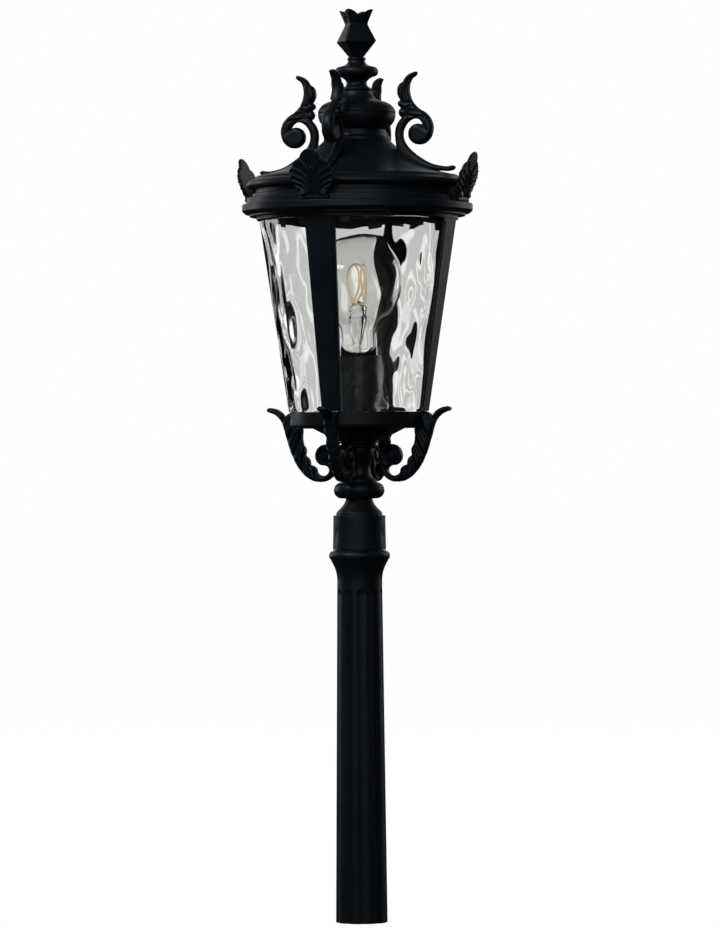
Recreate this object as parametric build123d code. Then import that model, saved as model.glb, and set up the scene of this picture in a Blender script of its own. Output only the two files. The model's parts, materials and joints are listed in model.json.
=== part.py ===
"""Outdoor post light: a fluted post, a lantern of four bars and water-glass panels, and a scrolled roof.

Millimetres. The origin is the centre of the post's sawn foot, +Z is up, and the four bars, brackets,
scrolls and palmettes stand on the X and Y axes.
"""
from build123d import *
import math
import os

# Clearances
slip_gap = 0.08           # tenon in fitter, finial on stud
seat_gap = 0.3            # between pieces that lift or turn apart
fit_gap = 0.05            # pieces pressed or screwed together for good
screw_gap = 0.1           # shank in its hole

# Post
post_height = 372.0
post_foot_r = 25.8
post_neck_r = 22.5
post_bore_r = 17.2
capital_height = 31.0
capital_r = 30.6
capital_bead_r = 3.6
flute_count = 10
flute_start = 7.6         # degrees
flute_r = 10.5
flute_depth = 1.2
flute_end = 39.0          # from the capital's top down to the flutes' rounded ends
tenon_r = 22.6
tenon_length = 30.0
tenon_bore_r = 14.5
spigot_r = 18.2
spigot_length = 38.0

# Fitter
fitter_lift = 0.5         # shadow gap above the capital
fitter_foot_r = 26.6
fitter_shoulder_r = 26.0
fitter_skirt = 33.5
fitter_edge_r = 1.0
fitter_step_r = 23.3
fitter_step = 4.5
fitter_flare = 13.0
fitter_neck_r = 13.6
flare_belly = 2.6         # how far the flare curves in from its chord
set_screw_r = 2.5
set_screw_length = 3.0
set_screw_height = 16.0
set_screw_count = 3
set_screw_start = 112.0   # bearing of the first screw, behind the lantern
key_r = 1.3
key_depth = 1.4

# Stem: collar, urn, threaded tube, nuts and leads
stem_r = 5.0
stem_bore_r = 3.4
stem_tail = 12.0          # below the fitter's ceiling
stem_head = 15.0          # above the pan's floor
collar_core_r = 17.2
collar_tube_r = 8.2
urn_height = 41.0
urn_foot_r = 17.5
urn_foot = 2.6
urn_waist_r = 11.5
urn_waist_height = 15.0
urn_throat_r = 15.0
urn_ring_r = 18.3
urn_ring = 5.0
nut_flats = 15.0
nut_height = 5.0
lead_r = 1.1
lead_offset = 1.7
connector_width = 15.0
connector_depth = 9.0
connector_height = 18.0
connector_edge_r = 1.5
connector_drop = 8.0      # leads showing between the stem tube and the connector

# Base pan
pan_neck_r = 19.0
pan_cone_r = 46.5
pan_cone = 13.0
pan_wall = 3.0
band_r = 68.5
band_foot_r = 67.0
band_foot = 3.0
band_height = 16.0

# Glass, cage bars and top ring
glass_height = 191.0
glass_head_r = 96.9
glass_wall = 3.5
bar_gap = 0.3             # between bar and glass
bar_wall = 2.4
bar_panel = 0.8           # raised panel on the bar's face
bar_panel_inset = 3.0
bar_foot_width = 21.0
bar_head_width = 32.0
bar_end_gap = 0.5
web_width = 3.0
web_depth = 6.0
web_gap = 0.8             # between web and glass edge
foot_width = 10.0
foot_depth = 4.4
boss_width = 8.0
boss_height = 12.0
clip_width = 8.0
clip_wall = 0.8
clip_drop = 12.0
clip_bearing = 14.0
ring_gap = 1.0            # room above the glass
ring_lip = 0.6
ring_margin = 1.0         # inside the heads of the bars' screws
ring_wall = 3.0
ring_rim = 4.0
ring_height = 6.0
gasket_wall = 1.2

# Screws
screw_r = 1.9
screw_head_r = 3.2
screw_head = 2.0
screw_head_round = 1.2
screw_bite = 7.0

# Leaf brackets
bracket_width = 12.0
bracket_reach = 30.0      # tip, out from the gallery band
bracket_tip = 18.7        # tip, above the pan's floor
bracket_drop = 54.0       # lowest point, below the pan's floor
bracket_pad_drop = 11.6
bracket_pad_wall = 1.9    # inside the screw's hole
bracket_pad_taper = 2.0
bracket_screw_r = 1.5
bracket_screw_head_r = 2.7
volute_in = 33.0          # eye of the volute, in from the band and down from the pan's floor
volute_down = 27.0
volute_r = 10.7
volute_eye_r = 3.6
volute_groove = 1.5
volute_draw = 0.8         # how far the curl winds in under the volute
bud_foot = 1.5            # stand-off of the bud from the band

# Lampholder and lamp
holder_r = 22.0
holder_wall = 1.5
holder_cap = 16.0
holder_sleeve = 48.0
holder_base = 8.0
holder_thread = 30.0
thread_wall = 1.2
thread_r = 13.0
contact_r = 3.0
contact_height = 1.7
lamp_tip = 2.0
lamp_tip_r = 4.5
lamp_insulator = 4.0
lamp_thread = 25.0
lamp_collar = 6.0
lamp_neck_r = 17.0
lamp_neck = 14.0
globe_r = 47.5
globe_wall = 1.2
globe_rise = 76.0         # globe's centre above the lamp's collar
globe_shoulder = 30.0     # degrees from the globe's lowest point to where its neck flares in
mount_foot_r = 15.0
mount_stem_r = 4.0
mount_stem = 52.0
mount_disc_r = 8.0
mount_disc = 3.0
filament_count = 6
filament_r = 1.0
filament_length = 36.0
filament_circle_r = 6.0
filament_spread_r = 9.0

# Cornice
skirt_gap = 0.4           # round the top ring
skirt_drop = 4.0
skirt_wall = 6.6
skirt_height = 2.5
eave_reach = 7.4
eave_edge = 1.6
eave_height = 10.0
ledge_set_back = 4.9
ledge_height = 6.4
frieze_set_back = 6.0
frieze_height = 8.6
frieze_bead_r = 2.2
frieze_bead_rise = 4.3
cornice_wall = 6.5
roof_screw_r = 1.25
roof_screw_rise = 1.8     # above the skirt's lower edge
roof_key_r = 0.7
pad_width = 28.0
pad_height = 13.0
pad_bite = 5.5            # how deep the pads run into the frieze

# Roof shell
rim_bead_r = 5.6
rim_reach = 6.2
rim_step = 2.2
roof_foot_r = 100.5
roof_neck_r = 33.5
roof_rise = 34.5
roof_foot_pull = (25.5, 3.7)
roof_neck_pull = (21.5, 20.8)
roof_wall = 3.5
roof_plate = 4.0

# Cupola
cupola_foot_r = 33.0
cupola_foot = 3.4
cupola_neck_r = 28.0
cupola_neck = 12.6
cupola_bulge_r = 39.7
cupola_bulge = 11.5
cupola_shoulder_r = 28.0
cupola_shoulder = 12.0
cupola_throat_r = 17.6
cupola_throat = 3.5
cupola_top_r = 14.0
cupola_top = 7.0
cupola_wall = 4.0

# Finial
stud_r = 4.0
stud_nut_flats = 13.0
stud_tail = 9.0
stud_end = 54.0           # above the cupola
stud_room = 10.8          # of the crown's bore above the stud
washer_r = 15.0
washer_height = 5.4
washer_edge_r = 2.0
knob_neck_r = 9.7
knob_neck = 7.5
knob_r = 21.8
knob_height = 12.5
knob_bead_r = 4.0
knob_throat_r = 8.6
knob_throat = 8.0
crown_turn = -5.5         # degrees, from where the finial tightens
crown_foot_r = 8.7
crown_belly_r = 22.5
crown_belly = 15.5
crown_waist_r = 13.0
crown_waist = 17.0
crown_lip_r = 19.0
crown_lip = 14.3
crown_wall = 3.0
crown_cup = 11.0
petal_notch_r = 8.0
petal_notch = 5.8

# Roof scrolls
scroll_width = 8.0
scroll_overhang = 4.7     # tail's end past the roof's foot
scroll_rise = 65.8        # horn's tip above the roof's neck
scroll_screw_place = 0.42  # along the roof's line from its foot
spot_face = 1.2           # flat for the head in the sloping underside

# Palmettes
palmette_wall = 3.6
palmette_rise = 48.7
palmette_lean = 17.7
palmette_foot_width = 31.0
palmette_screw_spacing = 22.4
palmette_screw_height = 6.7

# Heights that the stack of pieces adds up to
tenon_top = post_height + tenon_length
fitter_z = post_height + fitter_lift
fitter_ceiling = tenon_top + seat_gap
shoulder_z = fitter_z + fitter_skirt
flare_z = shoulder_z + fitter_step
collar_z = flare_z + fitter_flare
urn_z = collar_z + 2 * collar_tube_r
pan_z = urn_z + urn_height
floor_z = pan_z + pan_cone
pan_inside = floor_z + pan_wall
band_top = floor_z + band_height
glass_top = band_top + glass_height
ring_z = glass_top + ring_gap
ring_top = ring_z + ring_height
seat_z = ring_top + gasket_wall + seat_gap
skirt_z = seat_z - skirt_drop
eave_z = skirt_z + skirt_height
eave_top = eave_z + eave_height
ledge_top = eave_top + ledge_height
frieze_top = ledge_top + frieze_height
rim_top = frieze_top + 2 * rim_bead_r
roof_foot_z = rim_top + rim_step
roof_neck_z = roof_foot_z + roof_rise
cupola_neck_z = roof_neck_z + cupola_foot
cupola_flare_z = cupola_neck_z + cupola_neck
cupola_bulge_z = cupola_flare_z + cupola_bulge
cupola_shoulder_z = cupola_bulge_z + cupola_shoulder
cupola_throat_z = cupola_shoulder_z + cupola_throat
cupola_top_z = cupola_throat_z + cupola_top
washer_z = cupola_top_z + seat_gap
knob_z = washer_z + washer_height + seat_gap
crown_z = knob_z + knob_neck + knob_height + knob_throat
holder_z = pan_inside + nut_height
sleeve_z = holder_z + holder_cap
thread_z = sleeve_z + holder_base
lamp_z = thread_z + contact_height + seat_gap
lamp_thread_z = lamp_z + lamp_tip + lamp_insulator
lamp_collar_z = lamp_thread_z + lamp_thread
globe_foot_z = lamp_collar_z + lamp_collar
globe_z = globe_foot_z + globe_rise
mount_top = globe_foot_z + mount_stem

# Radii that follow from the glass
glass_slope = (glass_head_r - band_r) / glass_height
ring_r = glass_head_r + bar_gap + bar_wall + bar_panel + ring_lip
skirt_bore_r = ring_r + skirt_gap
skirt_r = skirt_bore_r + skirt_wall
eave_r = skirt_r + eave_reach
ledge_r = eave_r - ledge_set_back
frieze_r = ledge_r - frieze_set_back
rim_r = frieze_r + rim_reach

# Bracket's pad, between the gallery band and the screw's hole
bracket_hole_r = band_r - pan_wall - screw_gap - bracket_screw_head_r
bracket_pad_r = bracket_hole_r - screw_gap - bracket_screw_r - bracket_pad_wall

SIDES = {"front": -90, "right": 0, "back": 90, "left": 180}


def turned(*lines):
    """Turns a closed outline of radius and height about the lantern's axis."""
    return revolve(Plane.XZ * make_face(Curve() + list(lines)), Axis.Z)


def ring(inner_r, outer_r, low, high):
    """A plain round ring or, with no inner radius, a disc."""
    disc = Pos(0, 0, low) * extrude(Circle(outer_r), high - low)
    if not inner_r:
        return disc
    return disc - Pos(0, 0, low) * extrude(Circle(inner_r), high - low)


def upright(outline, width):
    """A plate of an outline of radius and height, lying in the XZ plane and as thick as its width."""
    return extrude(Plane.XZ * outline, width / 2, both=True)


def around(solid, count=4, start=0):
    """Copies of a solid turned about the axis."""
    return [Rot(0, 0, start + 360 / count * i) * solid for i in range(count)]


def hexagon_nut(flats, bore_r, low, height):
    """A plain nut standing on a level."""
    blank = RegularPolygon(flats / 2, 6, major_radius=False) - Circle(bore_r)
    return Pos(0, 0, low) * extrude(blank, height)


def pan_screw(length, shank_r=screw_r, head_r=screw_head_r):
    """A pan-head screw along Z, with the underside of its head at the origin and its shank going down."""
    head = fillet(ring(0, head_r, 0, screw_head).edges().group_by(Axis.Z)[-1], screw_head_round)
    return head + ring(0, shank_r, -length, 0)


def radial(solid, radius, height, offset=0):
    """Lays a solid that stands along Z so that it points outwards along X."""
    return Pos(radius, offset, height) * Rot(0, 90, 0) * solid


def vertical_hole(radius, low, high, shank_r=screw_r):
    """A drilling for a screw that stands upright at a radius on the X axis."""
    return Pos(radius, 0, 0) * ring(0, shank_r + screw_gap, low, high)


def save(node, *solids):
    """Writes one node: a single solid, or a group of like ones."""
    shape = solids[0] if len(solids) == 1 else Compound(children=list(solids))
    export_step(shape, f"parts/{node}.step")


def post_shaft():
    """Tapered fluted post with its flared capital, bored from end to end."""
    neck_z = post_height - capital_height
    bead_z = post_height - capital_bead_r
    flare = Spline(
        (post_neck_r, neck_z),
        (capital_r - capital_bead_r / 2, bead_z - capital_bead_r),
        tangents=[(0, 1), (0.7, 0.7)],
    )
    bead = ThreePointArc(flare @ 1, (capital_r, bead_z), (capital_r - capital_bead_r, post_height))
    foot = Polyline((0, 0), (post_foot_r, 0), (post_neck_r, neck_z))
    crest = Polyline(bead @ 1, (0, post_height), (0, 0))
    shaft = turned(foot, flare, bead, crest)
    taper = (post_foot_r - post_neck_r) / neck_z
    flute_top = post_height - flute_end
    away = flute_r - flute_depth

    def axis_point(z):
        return Vector(post_foot_r - taper * z + away, 0, z)

    low, high = axis_point(-flute_r), axis_point(flute_top - flute_r / 2)
    groove = Plane(low, z_dir=high - low) * extrude(Circle(flute_r), (high - low).length)
    groove += Pos(*high) * Sphere(flute_r)
    for cutter in around(groove, flute_count, flute_start):
        shaft -= cutter
    shaft -= ring(0, post_bore_r, 0, post_height)
    return shaft - ring(0, spigot_r, post_height - spigot_length, post_height)


def post_tenon():
    """Stepped tube pressed into the post, which the lantern drops over."""
    tenon = ring(0, spigot_r - fit_gap, post_height - spigot_length, post_height)
    tenon += ring(0, tenon_r, post_height, tenon_top)
    return tenon - ring(0, tenon_bore_r, post_height - spigot_length, tenon_top)


def fitter():
    """Cap over the tenon, with a flared neck that carries the lantern's stem."""
    chord_r = (fitter_step_r + fitter_neck_r) / 2
    waist = (chord_r - flare_belly, flare_z + fitter_flare / 2 - flare_belly)
    flare = ThreePointArc((fitter_step_r, flare_z), waist, (fitter_neck_r, collar_z))
    skirt = Polyline(
        (0, collar_z), (0, fitter_z), (fitter_foot_r, fitter_z),
        (fitter_shoulder_r, shoulder_z - fitter_edge_r),
    )
    shoulder = Polyline(
        (fitter_shoulder_r, shoulder_z - fitter_edge_r), (fitter_shoulder_r - fitter_edge_r, shoulder_z),
        (fitter_step_r, shoulder_z), (fitter_step_r, flare_z),
    )
    body = turned(skirt, shoulder, flare, Line((fitter_neck_r, collar_z), (0, collar_z)))
    body -= ring(0, tenon_r + slip_gap, fitter_z, fitter_ceiling)
    body -= ring(0, stem_r + fit_gap, fitter_ceiling, collar_z)
    hole = radial(ring(0, set_screw_r + slip_gap, 0, fitter_foot_r), 0, fitter_z + set_screw_height)
    for drilling in around(hole, set_screw_count, set_screw_start):
        body -= drilling
    return body


def set_screw(index):
    """Grub screw, flush in the fitter's skirt."""
    tip_r = tenon_r + seat_gap
    screw = ring(0, set_screw_r, 0, set_screw_length)
    screw -= Pos(0, 0, set_screw_length - key_depth) * extrude(RegularPolygon(key_r, 6), key_depth)
    bearing = set_screw_start + 360 / set_screw_count * index
    return Rot(0, 0, bearing) * radial(screw, tip_r, fitter_z + set_screw_height)


def stem_collar():
    """Fat round ring between fitter and urn."""
    middle = collar_z + collar_tube_r
    side = ThreePointArc(
        (collar_core_r, collar_z), (collar_core_r + collar_tube_r, middle), (collar_core_r, urn_z)
    )
    flat = Polyline(
        (collar_core_r, urn_z), (stem_r + fit_gap, urn_z), (stem_r + fit_gap, collar_z),
        (collar_core_r, collar_z),
    )
    return turned(side, flat)


def urn():
    """Waisted urn under the pan, with a ringed lip."""
    ring_z_low = pan_z - urn_ring
    foot = Polyline((stem_r + fit_gap, urn_z), (urn_foot_r, urn_z), (urn_foot_r, urn_z + urn_foot))
    side = Spline(
        (urn_foot_r, urn_z + urn_foot), (urn_waist_r, urn_z + urn_waist_height), (urn_throat_r, ring_z_low),
        tangents=[(-0.4, 1), (0.35, 1)],
    )
    lip = Polyline(
        (urn_throat_r, ring_z_low), (urn_ring_r, ring_z_low), (urn_ring_r, pan_z),
        (stem_r + fit_gap, pan_z), (stem_r + fit_gap, urn_z),
    )
    return turned(foot, side, lip)


def base_pan():
    """Dished floor with the upright gallery band that the glass stands on."""
    pan = turned(Polyline(
        (stem_r + fit_gap, pan_z), (pan_neck_r, pan_z), (pan_cone_r, floor_z), (band_foot_r, floor_z),
        (band_r, floor_z + band_foot), (band_r, band_top), (band_r - pan_wall, band_top),
        (band_r - pan_wall, pan_inside), (stem_r + fit_gap, pan_inside), (stem_r + fit_gap, pan_z),
    ))
    pan -= around(vertical_hole(bracket_hole_r, floor_z, pan_inside, bracket_screw_r))
    hole = radial(ring(0, screw_r + screw_gap, 0, screw_bite), bar_foot_r(), bar_screw_z())
    return pan - around(hole)


def bar_foot_r():
    """Inner face of a bar's foot, inside the gallery band."""
    return band_r - pan_wall - seat_gap - foot_depth


def bar_screw_z():
    """Height of the screw through a bar's foot."""
    return (pan_inside + screw_head + band_top) / 2


def glass_r(z):
    """Outer radius of the glass at a height."""
    return band_r + glass_slope * (z - band_top)


def sloping(inset, outset, low, high):
    """Outline of a strip along the glass, between two distances from its outer face."""
    return make_face(Polyline(
        (glass_r(low) + inset, low), (glass_r(low) + outset, low),
        (glass_r(high) + outset, high), (glass_r(high) + inset, high), close=True,
    ))


def tapered(foot_width_here, head_width_here, low, high):
    """Wedge of the width that a bar's face has at each height."""
    face = make_face(Polyline(
        (-foot_width_here / 2, low), (foot_width_here / 2, low),
        (head_width_here / 2, high), (-head_width_here / 2, high), close=True,
    ))
    return extrude(Plane.YZ * face, 2 * glass_head_r)


def cage_bar():
    """Flat bar over a joint of the glass, with a web between the panels, a foot and a head boss."""
    low, high = band_top + bar_end_gap, ring_z
    face = upright(sloping(bar_gap, bar_gap + bar_wall, low, high), 2 * bar_head_width)
    bar = face & tapered(bar_foot_width, bar_head_width, low, high)
    panel_low, panel_high = low + bar_panel_inset, high - bar_panel_inset
    panel = upright(
        sloping(bar_gap + bar_wall, bar_gap + bar_wall + bar_panel, panel_low, panel_high), 2 * bar_head_width
    )
    edge = 2 * bar_panel_inset
    bar += panel & tapered(bar_foot_width - edge, bar_head_width - edge, panel_low, panel_high)
    bar += upright(sloping(-web_depth, bar_gap, low, high), web_width)
    foot_r = bar_foot_r()
    foot_top = band_top + foot_depth
    foot = Pos(foot_r + foot_depth / 2, 0, (pan_inside + screw_head + band_top) / 2 + seat_gap) * Box(
        foot_depth, foot_width, band_top - pan_inside - screw_head - 2 * seat_gap
    )
    foot += Pos(foot_r + foot_depth / 2, 0, (band_top + foot_top) / 2 - seat_gap) * Box(
        foot_depth, web_width, foot_depth
    )
    bar += foot
    boss_r = boss_screw_r()
    bridge = glass_r(high) - boss_r
    bar += Pos(boss_r + bridge / 2, 0, high - boss_height / 2) * Box(bridge, web_width, boss_height)
    bar += Pos(boss_r, 0, 0) * ring(0, boss_width / 2, high - boss_height, high)
    bar -= vertical_hole(boss_r, high - screw_bite, high)
    return bar - radial(ring(0, screw_r + screw_gap, 0, foot_depth), foot_r, bar_screw_z())


def boss_screw_r():
    """Radius of the screw that ties a bar's head to the top ring, inside the glass."""
    return glass_r(ring_z - boss_height) - glass_wall - boss_width / 2 - seat_gap


def glass_panel():
    """Conical quarter panel of glass, centred between two bars."""
    section = sloping(-glass_wall, 0, band_top, glass_top)
    half_gap = math.degrees((web_width / 2 + web_gap) / (band_r - glass_wall))
    panel = revolve(Plane.XZ * section, Axis.Z, 90 - 2 * half_gap)
    return Rot(0, 0, half_gap) * panel


def glass_clip():
    """Spring tab under the top ring, behind the glass."""
    low = ring_z - clip_drop
    back = -glass_wall - seat_gap
    return upright(sloping(back - clip_wall, back, low, ring_z), clip_width)


def top_ring():
    """Ring that ties the bars together, with a raised rim for the roof."""
    ring_bore_r = boss_screw_r() - screw_head_r - ring_margin
    body = turned(Polyline(
        (ring_bore_r, ring_z), (ring_r, ring_z), (ring_r, ring_top), (ring_r - ring_rim, ring_top),
        (ring_r - ring_rim, ring_z + ring_wall), (ring_bore_r, ring_z + ring_wall), (ring_bore_r, ring_z),
    ))
    return body - around(vertical_hole(boss_screw_r(), ring_z, ring_top))


def bracket():
    """Cast leaf bracket: a leaf under the pan, a tip flaring past the bar, and a volute by the urn."""

    def at(out, down):
        """A point in shares of the reach past the band or in to the volute, and of the drop or the tip."""
        across = bracket_reach if out > 0 else volute_in + volute_r
        below = bracket_drop if down > 0 else bracket_tip
        return (band_r + out * across, floor_z - down * below)

    eye = (band_r - volute_in, floor_z - volute_down)
    volute_left = (eye[0] - volute_r, eye[1])
    volute_right = (eye[0] + volute_r, eye[1])
    point, nook, crotch = at(1.0, -1.0), at(0.38, -0.63), at(-0.88, 0.778)
    outer = Spline(
        point, at(0.555, -0.556), at(0.33, 0.111), at(0.083, 0.537), at(-0.327, 0.93), at(-0.572, 1.0),
        tangents=[(-1, -0.25), (-1, 0.04)],
    )
    heel = Bezier(outer @ 1, at(-0.812, 0.993), (volute_left[0], volute_left[1] - 2 * volute_r), volute_left)
    cap = ThreePointArc(volute_left, (eye[0], eye[1] + volute_r), volute_right)
    under = (eye[0], eye[1] - volute_r + volute_draw)
    curl = Spline(volute_right, under, crotch, tangents=[(0, -1), (-0.6, -1)])
    scallops = [at(-0.545, 0.833), at(-0.362, 0.67), at(-0.247, 0.5), at(-0.197, 0.306)]
    bulges = [at(-0.494, 0.711), at(-0.348, 0.559), at(-0.265, 0.381)]
    inside = Spline(crotch, at(-0.709, 0.881), scallops[0], tangents=[(0.7, -1), (1, 0.6)])
    edge = [ThreePointArc(a, b, c) for a, b, c in zip(scallops, bulges, scallops[1:])]
    bud_start = (band_r + bud_foot, band_top - bar_end_gap)
    pad = Polyline(
        scallops[-1], (bracket_pad_r + bracket_pad_taper, floor_z - bracket_pad_drop),
        (bracket_pad_r, floor_z), (band_r + fit_gap, floor_z), (band_r + fit_gap, band_top - fit_gap),
        bud_start,
    )
    bud = Spline(bud_start, at(0.24, -0.77), nook, tangents=[(1, 0), (0.5, -1)])
    tip = Spline(nook, at(0.5, -0.872), at(0.75, -1.053), point, tangents=[(0.3, 1), (1, -0.6)])
    outline = make_face(Curve() + [outer, heel, cap, curl, inside] + edge + [pad, bud, tip])
    blank = upright(outline, bracket_width)
    groove = Circle(volute_r - volute_groove * 2) - Circle(volute_eye_r)
    for side in (1, -1):
        face = Plane((eye[0], side * bracket_width / 2, eye[1]), z_dir=(0, side, 0))
        blank -= face * extrude(groove, -volute_groove)
    return blank - vertical_hole(bracket_hole_r, floor_z - screw_bite, floor_z, bracket_screw_r)


def lampholder_cap():
    """Lower cup of the lampholder, standing on the stem's nut."""
    cup = ring(0, holder_r, holder_z, sleeve_z) - ring(
        0, holder_r - holder_wall, holder_z + holder_wall, sleeve_z
    )
    cup = chamfer(cup.edges().group_by(Axis.Z)[0].sort_by(SortBy.RADIUS)[-1:], holder_wall / 2)
    return cup - ring(0, stem_r + fit_gap, holder_z, holder_z + holder_wall)


def lampholder_sleeve():
    """Outer sleeve of the lampholder."""
    top = sleeve_z + holder_sleeve
    return ring(holder_r - holder_wall, holder_r, sleeve_z, top)


def lampholder_base():
    """Insulator that carries the threaded shell and the contact."""
    base = ring(0, holder_r - holder_wall - fit_gap, sleeve_z, thread_z)
    for side in (1, -1):
        lead_hole = ring(0, lead_r + fit_gap, sleeve_z, sleeve_z + holder_base / 2)
        base -= Pos(0, side * lead_offset, 0) * lead_hole
    return base


def lead_wires():
    """Two straight leads from the lampholder down through the stem tube."""
    low = fitter_ceiling - stem_tail - connector_drop
    wire = ring(0, lead_r, low, sleeve_z + holder_base / 2)
    return [Pos(0, side * lead_offset, 0) * wire for side in (1, -1)]


def wire_connector():
    """Terminal block on the ends of the leads, inside the tenon."""
    top = fitter_ceiling - stem_tail - connector_drop
    block = Pos(0, 0, top - connector_height / 2) * Box(connector_depth, connector_width, connector_height)
    return fillet(block.edges().filter_by(Axis.Z), connector_edge_r)


def lamp_globe():
    """Blown envelope: a sphere on a short neck."""

    def wall(shrink):
        sphere_r = globe_r - shrink
        neck_r = lamp_neck_r - shrink
        join_z = globe_foot_z + lamp_neck
        touch = math.radians(globe_shoulder)
        low = (sphere_r * math.sin(touch), globe_z - sphere_r * math.cos(touch))
        throat = Spline((neck_r, join_z), low, tangents=[(0, 1), (math.cos(touch), math.sin(touch))])
        return [
            Polyline((0, globe_foot_z), (neck_r, globe_foot_z), (neck_r, join_z)), throat,
            ThreePointArc(low, (sphere_r, globe_z), (0, globe_z + sphere_r)),
            Line((0, globe_z + sphere_r), (0, globe_foot_z)),
        ]

    return turned(*wall(0)) - turned(*wall(globe_wall))


def lamp_cap():
    """Screw cap of the lamp with its flared collar."""
    return turned(Polyline(
        (0, lamp_thread_z), (thread_r, lamp_thread_z), (thread_r, lamp_collar_z),
        (lamp_neck_r, globe_foot_z), (lamp_neck_r - globe_wall, globe_foot_z),
        (thread_r - globe_wall, lamp_collar_z), (thread_r - globe_wall, lamp_thread_z + globe_wall),
        (0, lamp_thread_z + globe_wall), (0, lamp_thread_z),
    ))


def lamp_contact():
    """Insulating cone and centre contact under the lamp's cap."""
    return turned(Polyline(
        (0, lamp_z), (lamp_tip_r, lamp_z), (lamp_tip_r, lamp_z + lamp_tip),
        (thread_r - globe_wall, lamp_thread_z), (0, lamp_thread_z), (0, lamp_z),
    ))


def lamp_mount():
    """Glass stem inside the lamp, with the disc that carries the filaments."""
    return turned(
        Polyline((0, globe_foot_z), (mount_foot_r, globe_foot_z)),
        Spline(
            (mount_foot_r, globe_foot_z), (mount_stem_r, globe_foot_z + lamp_neck),
            tangents=[(-1, 0.6), (0, 1)],
        ),
        Polyline(
            (mount_stem_r, globe_foot_z + lamp_neck), (mount_stem_r, mount_top), (mount_disc_r, mount_top),
            (mount_disc_r, mount_top + mount_disc), (0, mount_top + mount_disc), (0, globe_foot_z),
        ),
    )


def lamp_filaments():
    """Straight filaments, splayed a little, standing on the mount's disc."""
    low = Vector(filament_circle_r, 0, mount_top + mount_disc)
    high = Vector(filament_spread_r, 0, mount_top + mount_disc + filament_length)
    rod = Plane(low, z_dir=high - low) * extrude(Circle(filament_r), (high - low).length)
    above_disc = ring(0, 4 * filament_circle_r, low.Z, low.Z + 2 * filament_length)
    return around(rod & above_disc, filament_count)


def cornice():
    """Eave, ledge and frieze of the roof, with pads behind the palmettes."""
    inner_r = frieze_r - cornice_wall
    bead_z = ledge_top + frieze_bead_rise
    outside = Polyline(
        (skirt_bore_r, skirt_z), (skirt_r, skirt_z), (skirt_r, eave_z), (eave_r - 2 * eave_edge, eave_z),
        (eave_r, eave_z + 2 * eave_edge), (eave_r, eave_top - eave_edge / 2),
        (eave_r - eave_edge / 2, eave_top), (ledge_r, eave_top), (ledge_r, ledge_top),
        (frieze_r, ledge_top), (frieze_r, bead_z - frieze_bead_r),
    )
    bead = ThreePointArc(
        (frieze_r, bead_z - frieze_bead_r), (frieze_r + frieze_bead_r, bead_z),
        (frieze_r, bead_z + frieze_bead_r),
    )
    inside = Polyline(
        (frieze_r, bead_z + frieze_bead_r), (frieze_r, frieze_top), (inner_r, frieze_top), (inner_r, seat_z),
        (skirt_bore_r, seat_z), (skirt_bore_r, skirt_z),
    )
    body = turned(outside, bead, inside)
    pad = Pos(frieze_r, 0, eave_top + pad_height / 2) * Box(4 * frieze_set_back, pad_width, pad_height)
    body += around(pad & ring(frieze_r - pad_bite, ledge_r, eave_top, frieze_top))
    for offset in (palmette_screw_spacing / 2, -palmette_screw_spacing / 2):
        hole = ring(0, screw_r + screw_gap, 0, screw_bite)
        body -= around(radial(hole, ledge_r - screw_bite, palmette_screw_z(), offset))
    hole = radial(ring(0, roof_screw_r + fit_gap, 0, skirt_wall + eave_reach), ring_r, roof_screw_z())
    return body - around(hole, start=45)


def roof_screw_z():
    """Height of the grub screws that hold the roof on the top ring."""
    return skirt_z + roof_screw_rise


def palmette_screw_z():
    """Height of the screws at a palmette's foot."""
    return eave_top + palmette_screw_height


def roof_curve(drop):
    """Concave line of the roof, from its foot to its neck, lowered by a wall's thickness."""
    foot = (roof_foot_r, roof_foot_z - drop)
    neck = (roof_neck_r, roof_neck_z - drop)
    return Bezier(
        foot, (foot[0] - roof_foot_pull[0], foot[1] + roof_foot_pull[1]),
        (neck[0] + roof_neck_pull[0], neck[1] - roof_neck_pull[1]), neck,
    )


def roof_mass():
    """Everything under the roof's outer face, to seat what stands on it."""
    return turned(
        roof_curve(0),
        Polyline(
            (roof_neck_r, roof_neck_z), (0, roof_neck_z), (0, frieze_top), (roof_foot_r, frieze_top),
            (roof_foot_r, roof_foot_z),
        ),
    )


def roof_shell():
    """Concave roof with a rounded rim and a flat plate under the cupola."""
    bead_z = frieze_top + rim_bead_r
    inner_r = frieze_r - cornice_wall
    core_r = rim_r - rim_bead_r
    bead = ThreePointArc((core_r, frieze_top), (rim_r, bead_z), (core_r, rim_top))
    step = Polyline((core_r, rim_top), (roof_foot_r, rim_top), (roof_foot_r, roof_foot_z))
    top = Polyline((roof_neck_r, roof_neck_z), (stud_r + fit_gap, roof_neck_z))
    plate_z = roof_neck_z - roof_plate
    under = Polyline(
        (stud_r + fit_gap, roof_neck_z), (stud_r + fit_gap, plate_z), (0, plate_z), (0, frieze_top)
    )
    blank = turned(
        bead, step, roof_curve(0), top, under, Polyline((0, frieze_top), (core_r, frieze_top))
    )
    hollow = turned(
        roof_curve(roof_wall),
        Polyline(
            (roof_neck_r, roof_neck_z - roof_wall), (roof_neck_r, plate_z), (0, plate_z), (0, frieze_top),
            (inner_r, frieze_top), (inner_r, roof_foot_z - roof_wall), (roof_foot_r, roof_foot_z - roof_wall),
        ),
    )
    shell = blank - (hollow & ring(0, inner_r, frieze_top, roof_neck_z))
    seat = scroll_screw_seat()
    drilling = vertical_hole(seat.X, frieze_top, roof_neck_z)
    drilling += Pos(seat.X, 0, 0) * ring(0, screw_head_r + seat_gap, frieze_top, seat.Y)
    return shell - around(drilling)


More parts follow.
